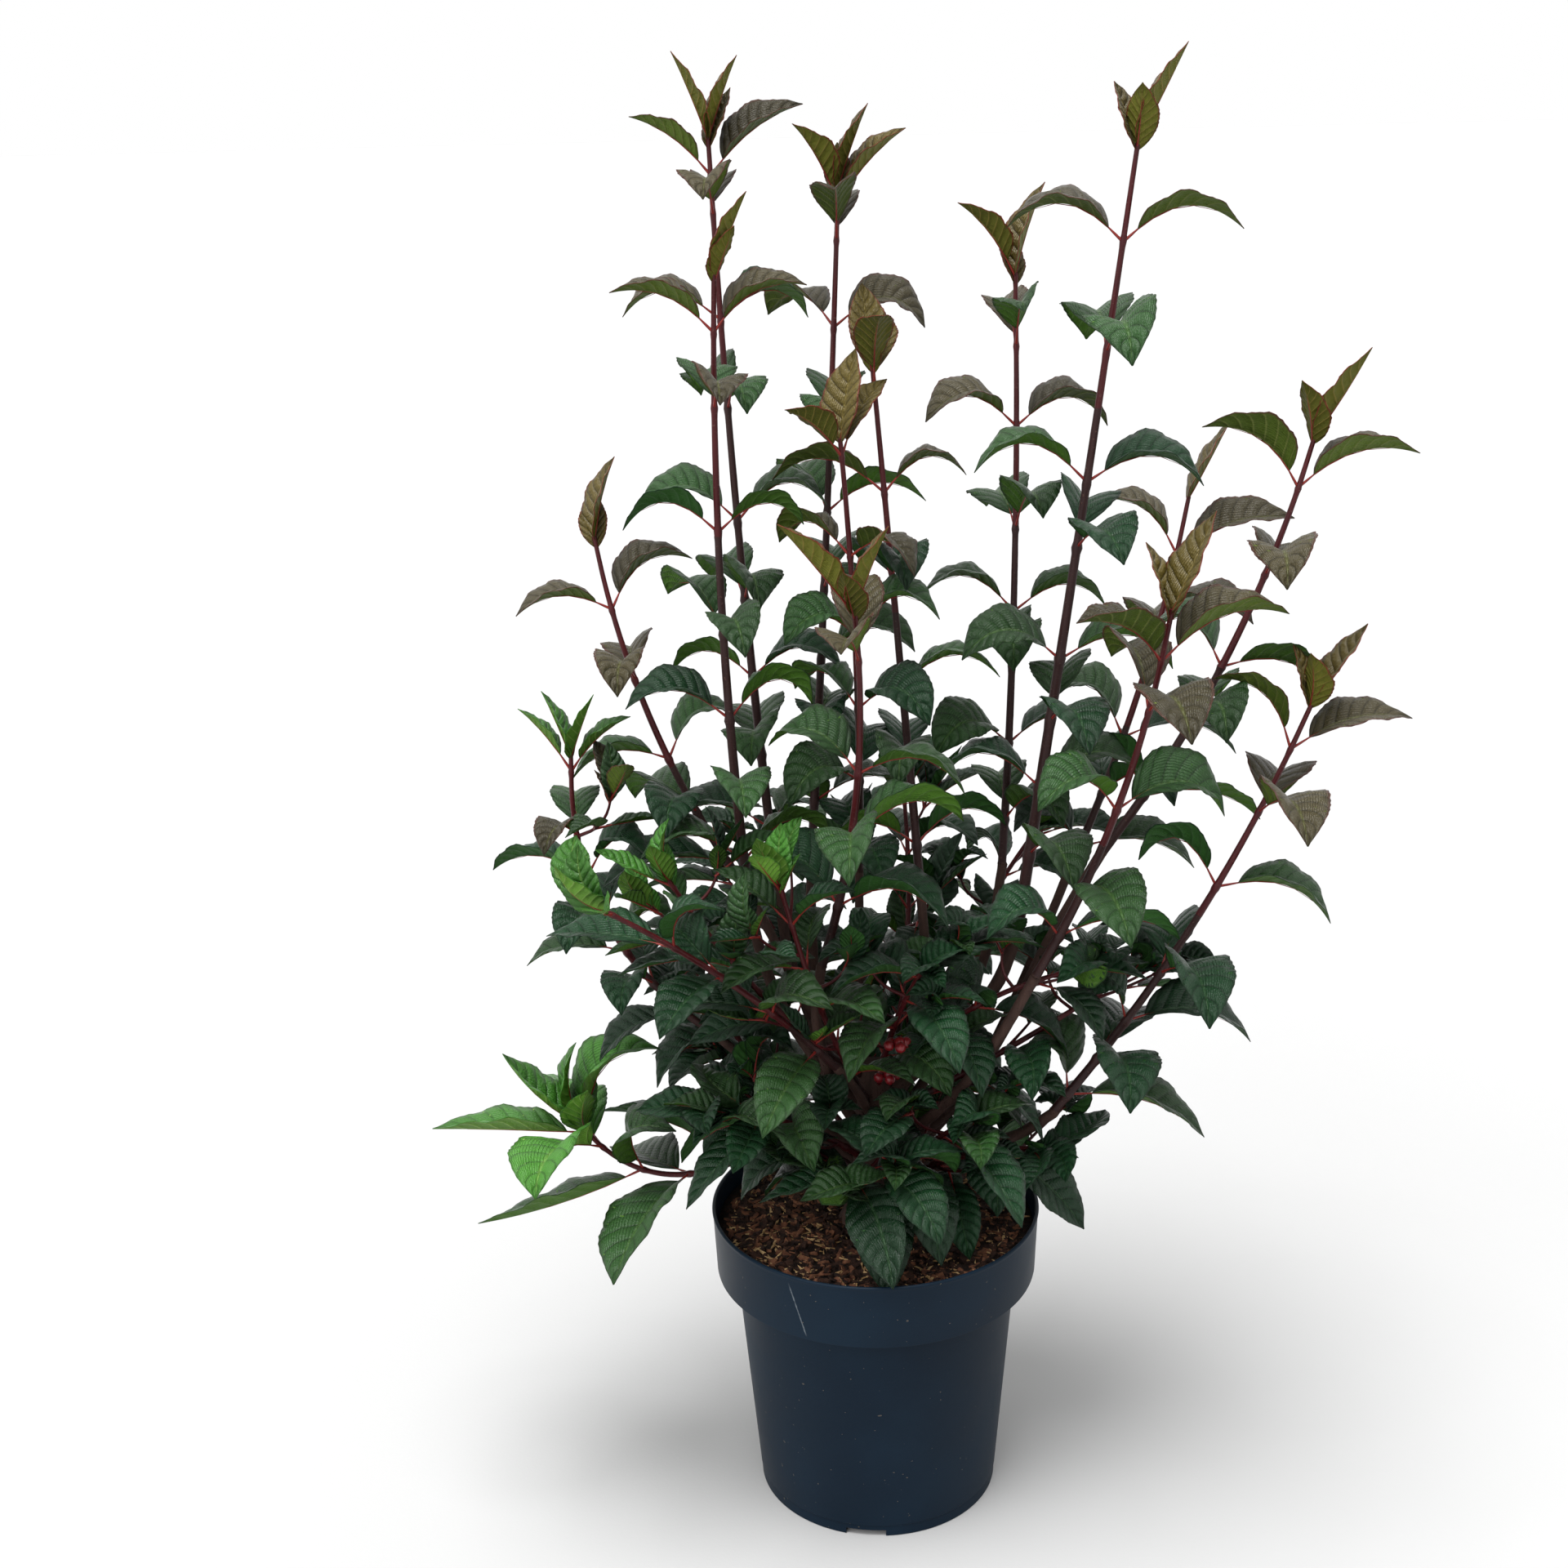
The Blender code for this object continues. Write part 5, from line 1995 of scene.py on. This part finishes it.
@dataclass
class Mulch:
    """The filling of the pot: an uneven bed with bark flakes and pale slivers strewn on it."""

    rings: int = 26
    spokes: int = 96
    radius: float = COLLAR_FOOT_RADIUS - WALL + 0.0008
    depth: float = 0.016
    strewn_share: float = 0.93
    strewn_lift: float = 0.0006

    def height(self, x: float, y: float) -> float:
        """The bed's height at a place.

        Args:
            x: The place's x.
            y: The place's y.

        Returns:
            The height.
        """
        far = math.hypot(x, y) / self.radius
        wave = math.sin(70 * x + 2) * math.cos(85 * y) + 0.5 * math.sin(190 * x - 140 * y)
        return MULCH_TOP - 0.003 * far**2 + 0.0011 * wave * min(1.0, 4 * (1 - far) + 0.3)

    def bed(self, name: str) -> Any:
        """The bed as a closed mesh.

        Args:
            name: The new object's name.

        Returns:
            The new object.
        """
        points = [Vector((0, 0, self.height(0, 0)))]
        for ring, spoke in itertools.product(range(1, self.rings + 1), range(self.spokes)):
            far, turn = self.radius * ring / self.rings, math.tau * spoke / self.spokes
            x, y = far * math.cos(turn), far * math.sin(turn)
            points.append(Vector((x, y, self.height(x, y))))
        for spoke in range(self.spokes):
            turn = math.tau * spoke / self.spokes
            x, y = self.radius * math.cos(turn), self.radius * math.sin(turn)
            points.append(Vector((x, y, MULCH_TOP - self.depth)))
        points.append(Vector((0, 0, MULCH_TOP - self.depth)))
        faces, last = [], len(points) - 1
        for spoke in range(self.spokes):
            after = (spoke + 1) % self.spokes
            faces.append((0, 1 + spoke, 1 + after))
            for ring in range(self.rings):
                low, high = 1 + ring * self.spokes, 1 + (ring + 1) * self.spokes
                faces.append((low + spoke, high + spoke, high + after, low + after))
            foot = 1 + self.rings * self.spokes
            faces.append((foot + after, foot + spoke, last))
        return show(name, plain_mesh(name, points, faces))

    def strewn(self) -> Tree:
        """Strews flakes of many sizes over the upward faces.

        Returns:
            The tree.
        """
        tree = Tree(
            "strewn_flakes",
            {
                "Density": "NodeSocketFloat",
                "Seed": "NodeSocketInt",
                "Corners": "NodeSocketInt",
                "Least": "NodeSocketVector",
                "Most": "NodeSocketVector",
                "Tilt": "NodeSocketFloat",
                "Material": "NodeSocketMaterial",
            },
        )
        source = tree.source.outputs
        normal = tree.node("GeometryNodeInputNormal", {})
        normal = tree.node("ShaderNodeSeparateXYZ", {0: normal.outputs[0]})
        upward = tree.node("ShaderNodeMath", {0: normal.outputs[2], 1: 0.5}, operation="GREATER_THAN")
        feeds = {"Mesh": source["Geometry"], "Selection": upward.outputs[0]}
        feeds |= {"Density": source["Density"], "Seed": source["Seed"]}
        points = tree.node("GeometryNodeDistributePointsOnFaces", feeds)
        feeds = {"Vertices": source["Corners"], "Radius": 0.5, "Depth": 1.0}
        flake = tree.node("GeometryNodeMeshCylinder", feeds)
        feeds = {0: source["Least"], 1: source["Most"]}
        size = tree.node("FunctionNodeRandomValue", feeds, data_type="FLOAT_VECTOR")
        negative = tree.node("ShaderNodeMath", {0: source["Tilt"], 1: -1.0}, operation="MULTIPLY")
        feeds = {0: negative.outputs[0], 1: negative.outputs[0], 2: 0.0}
        least = tree.node("ShaderNodeCombineXYZ", feeds)
        feeds = {0: source["Tilt"], 1: source["Tilt"], 2: math.tau}
        most = tree.node("ShaderNodeCombineXYZ", feeds)
        feeds = {0: least.outputs[0], 1: most.outputs[0]}
        turn = tree.node("FunctionNodeRandomValue", feeds, data_type="FLOAT_VECTOR")
        feeds = {"Points": points.outputs[0], "Instance": flake.outputs[0]}
        feeds |= {"Rotation": turn.outputs[0], "Scale": size.outputs[0]}
        strewn = tree.node("GeometryNodeInstanceOnPoints", feeds)
        tree.end(strewn.outputs[0])
        return tree

    def build(self) -> None:
        """Builds the bed and strews the flakes and slivers."""
        soil = ChipFinish("mulch_soil", linear(18, 12, 10), linear(44, 29, 22)).material()
        bed = self.bed("mulch_bed")
        bed.data.materials.append(soil)
        settle(bed, "bark_mulch", "mulch")
        tree = self.strewn()
        for number, kind in enumerate(FLAKES):
            finish = ChipFinish(kind.name + "_skin", kind.dark, kind.light)
            values = {
                "Density": kind.density,
                "Seed": 3 + number,
                "Corners": kind.corners,
                "Least": kind.least,
                "Most": kind.most,
                "Tilt": kind.tilt,
                "Material": finish.material(),
            }
            host = self.bed(kind.name + "_bed")
            for corner in host.data.vertices:
                corner.co.x *= self.strewn_share
                corner.co.y *= self.strewn_share
                corner.co.z += self.strewn_lift
            settle(tree.grow(host, kind.name, values), "bark_mulch")


@dataclass(frozen=True)
class Sun:
    """One soft light: the side that it shines from, its width in degrees and its strength."""

    name: str
    place: Triple
    spread: float
    power: float


@dataclass
class Studio:
    """The camera at the photograph's angle, soft light and a white floor."""

    eye: Triple = (0.0, -1.6177, 1.1853)
    pitch: float = 0.3232
    roll: float = -0.0249
    yaw: float = -0.0428
    lens: float = 48.75
    floor_reach: float = 40.0
    floor_tone: float = 0.41
    lights: tuple[Sun, ...] = (
        Sun("key_light", (-0.15, -0.35, 2.2), 36.0, 4.2),
        Sun("side_light", (-1.2, -1.4, 1.2), 50.0, 1.3),
    )

    def camera(self) -> None:
        """Sets the camera."""
        ahead = Vector(
            (
                math.sin(self.yaw) * math.cos(self.pitch),
                math.cos(self.yaw) * math.cos(self.pitch),
                -math.sin(self.pitch),
            )
        )
        right = Vector((math.cos(self.yaw), -math.sin(self.yaw), 0.0))
        above = right.cross(ahead)
        side = math.cos(self.roll) * right + math.sin(self.roll) * above
        top = math.cos(self.roll) * above - math.sin(self.roll) * right
        turn = Matrix((side, top, -ahead)).transposed().to_4x4()
        data = bpy.data.cameras.new("camera")
        data.lens, data.sensor_width = self.lens, 36.0
        camera = bpy.data.objects.new("camera", data)
        camera.matrix_world = Matrix.Translation(self.eye) @ turn
        bpy.context.scene.collection.objects.link(camera)
        bpy.context.scene.camera = camera

    def sun(self, light: Sun) -> None:
        """Adds one soft light.

        Args:
            light: The light.
        """
        data = bpy.data.lights.new(light.name, "SUN")
        data.angle, data.energy = math.radians(light.spread), light.power
        lamp = bpy.data.objects.new(light.name, data)
        lamp.matrix_world = (-Vector(light.place)).to_track_quat("-Z", "Y").to_matrix().to_4x4()
        bpy.context.scene.collection.objects.link(lamp)

    def build(self) -> None:
        """Sets camera, lights, world and floor."""
        self.camera()
        for light in self.lights:
            self.sun(light)
        world = bpy.data.worlds.new("studio")
        bpy.context.scene.world = world
        world.use_nodes = True
        world.node_tree.nodes["Background"].inputs["Color"].default_value = (1.0, 1.0, 1.0, 1.0)
        world.node_tree.nodes["Background"].inputs["Strength"].default_value = 1.0
        mesh = bpy.data.meshes.new("floor")
        far, tone = self.floor_reach, (self.floor_tone,) * 3
        corners = [(-far, -far, 0), (far, -far, 0), (far, far, 0), (-far, far, 0)]
        mesh.from_pydata(corners, [], [(0, 1, 2, 3)])
        graph = Graph("floor_paper")
        mesh.materials.append(graph.finish(tone, 0.9, graph.noise(300.0), 0.0001, 0.0))
        floor = show("floor", mesh)
        bpy.context.scene.view_settings.view_transform = "Standard"
        bpy.context.scene.view_settings.look = "None"


def main() -> None:
    """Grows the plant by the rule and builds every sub-assembly."""
    logging.basicConfig(level=logging.INFO, format="%(message)s")
    room = Room()
    for name in ("pot", "mulch", "main_stem"):
        mesh = frame["nodes"][name].data
        corners = [corner.co.copy() for corner in mesh.vertices]
        room.add(name, corners, [tuple(face.vertices) for face in mesh.polygons])
    routes = route_limbs(room)
    grown = grow_leaves(routes, room)
    LOG.info("%d leaves by the source's rule", sum(len(leaves) for _, leaves in grown))
    finer_twigs(routes, grown, room)
    Pot().build()
    Mulch().build()
    Wood(routes, grown).build()
    Foliage(routes, grown).build()
    Fruit(routes).build()
    Studio().build()


if __name__ == "__main__":
    main()
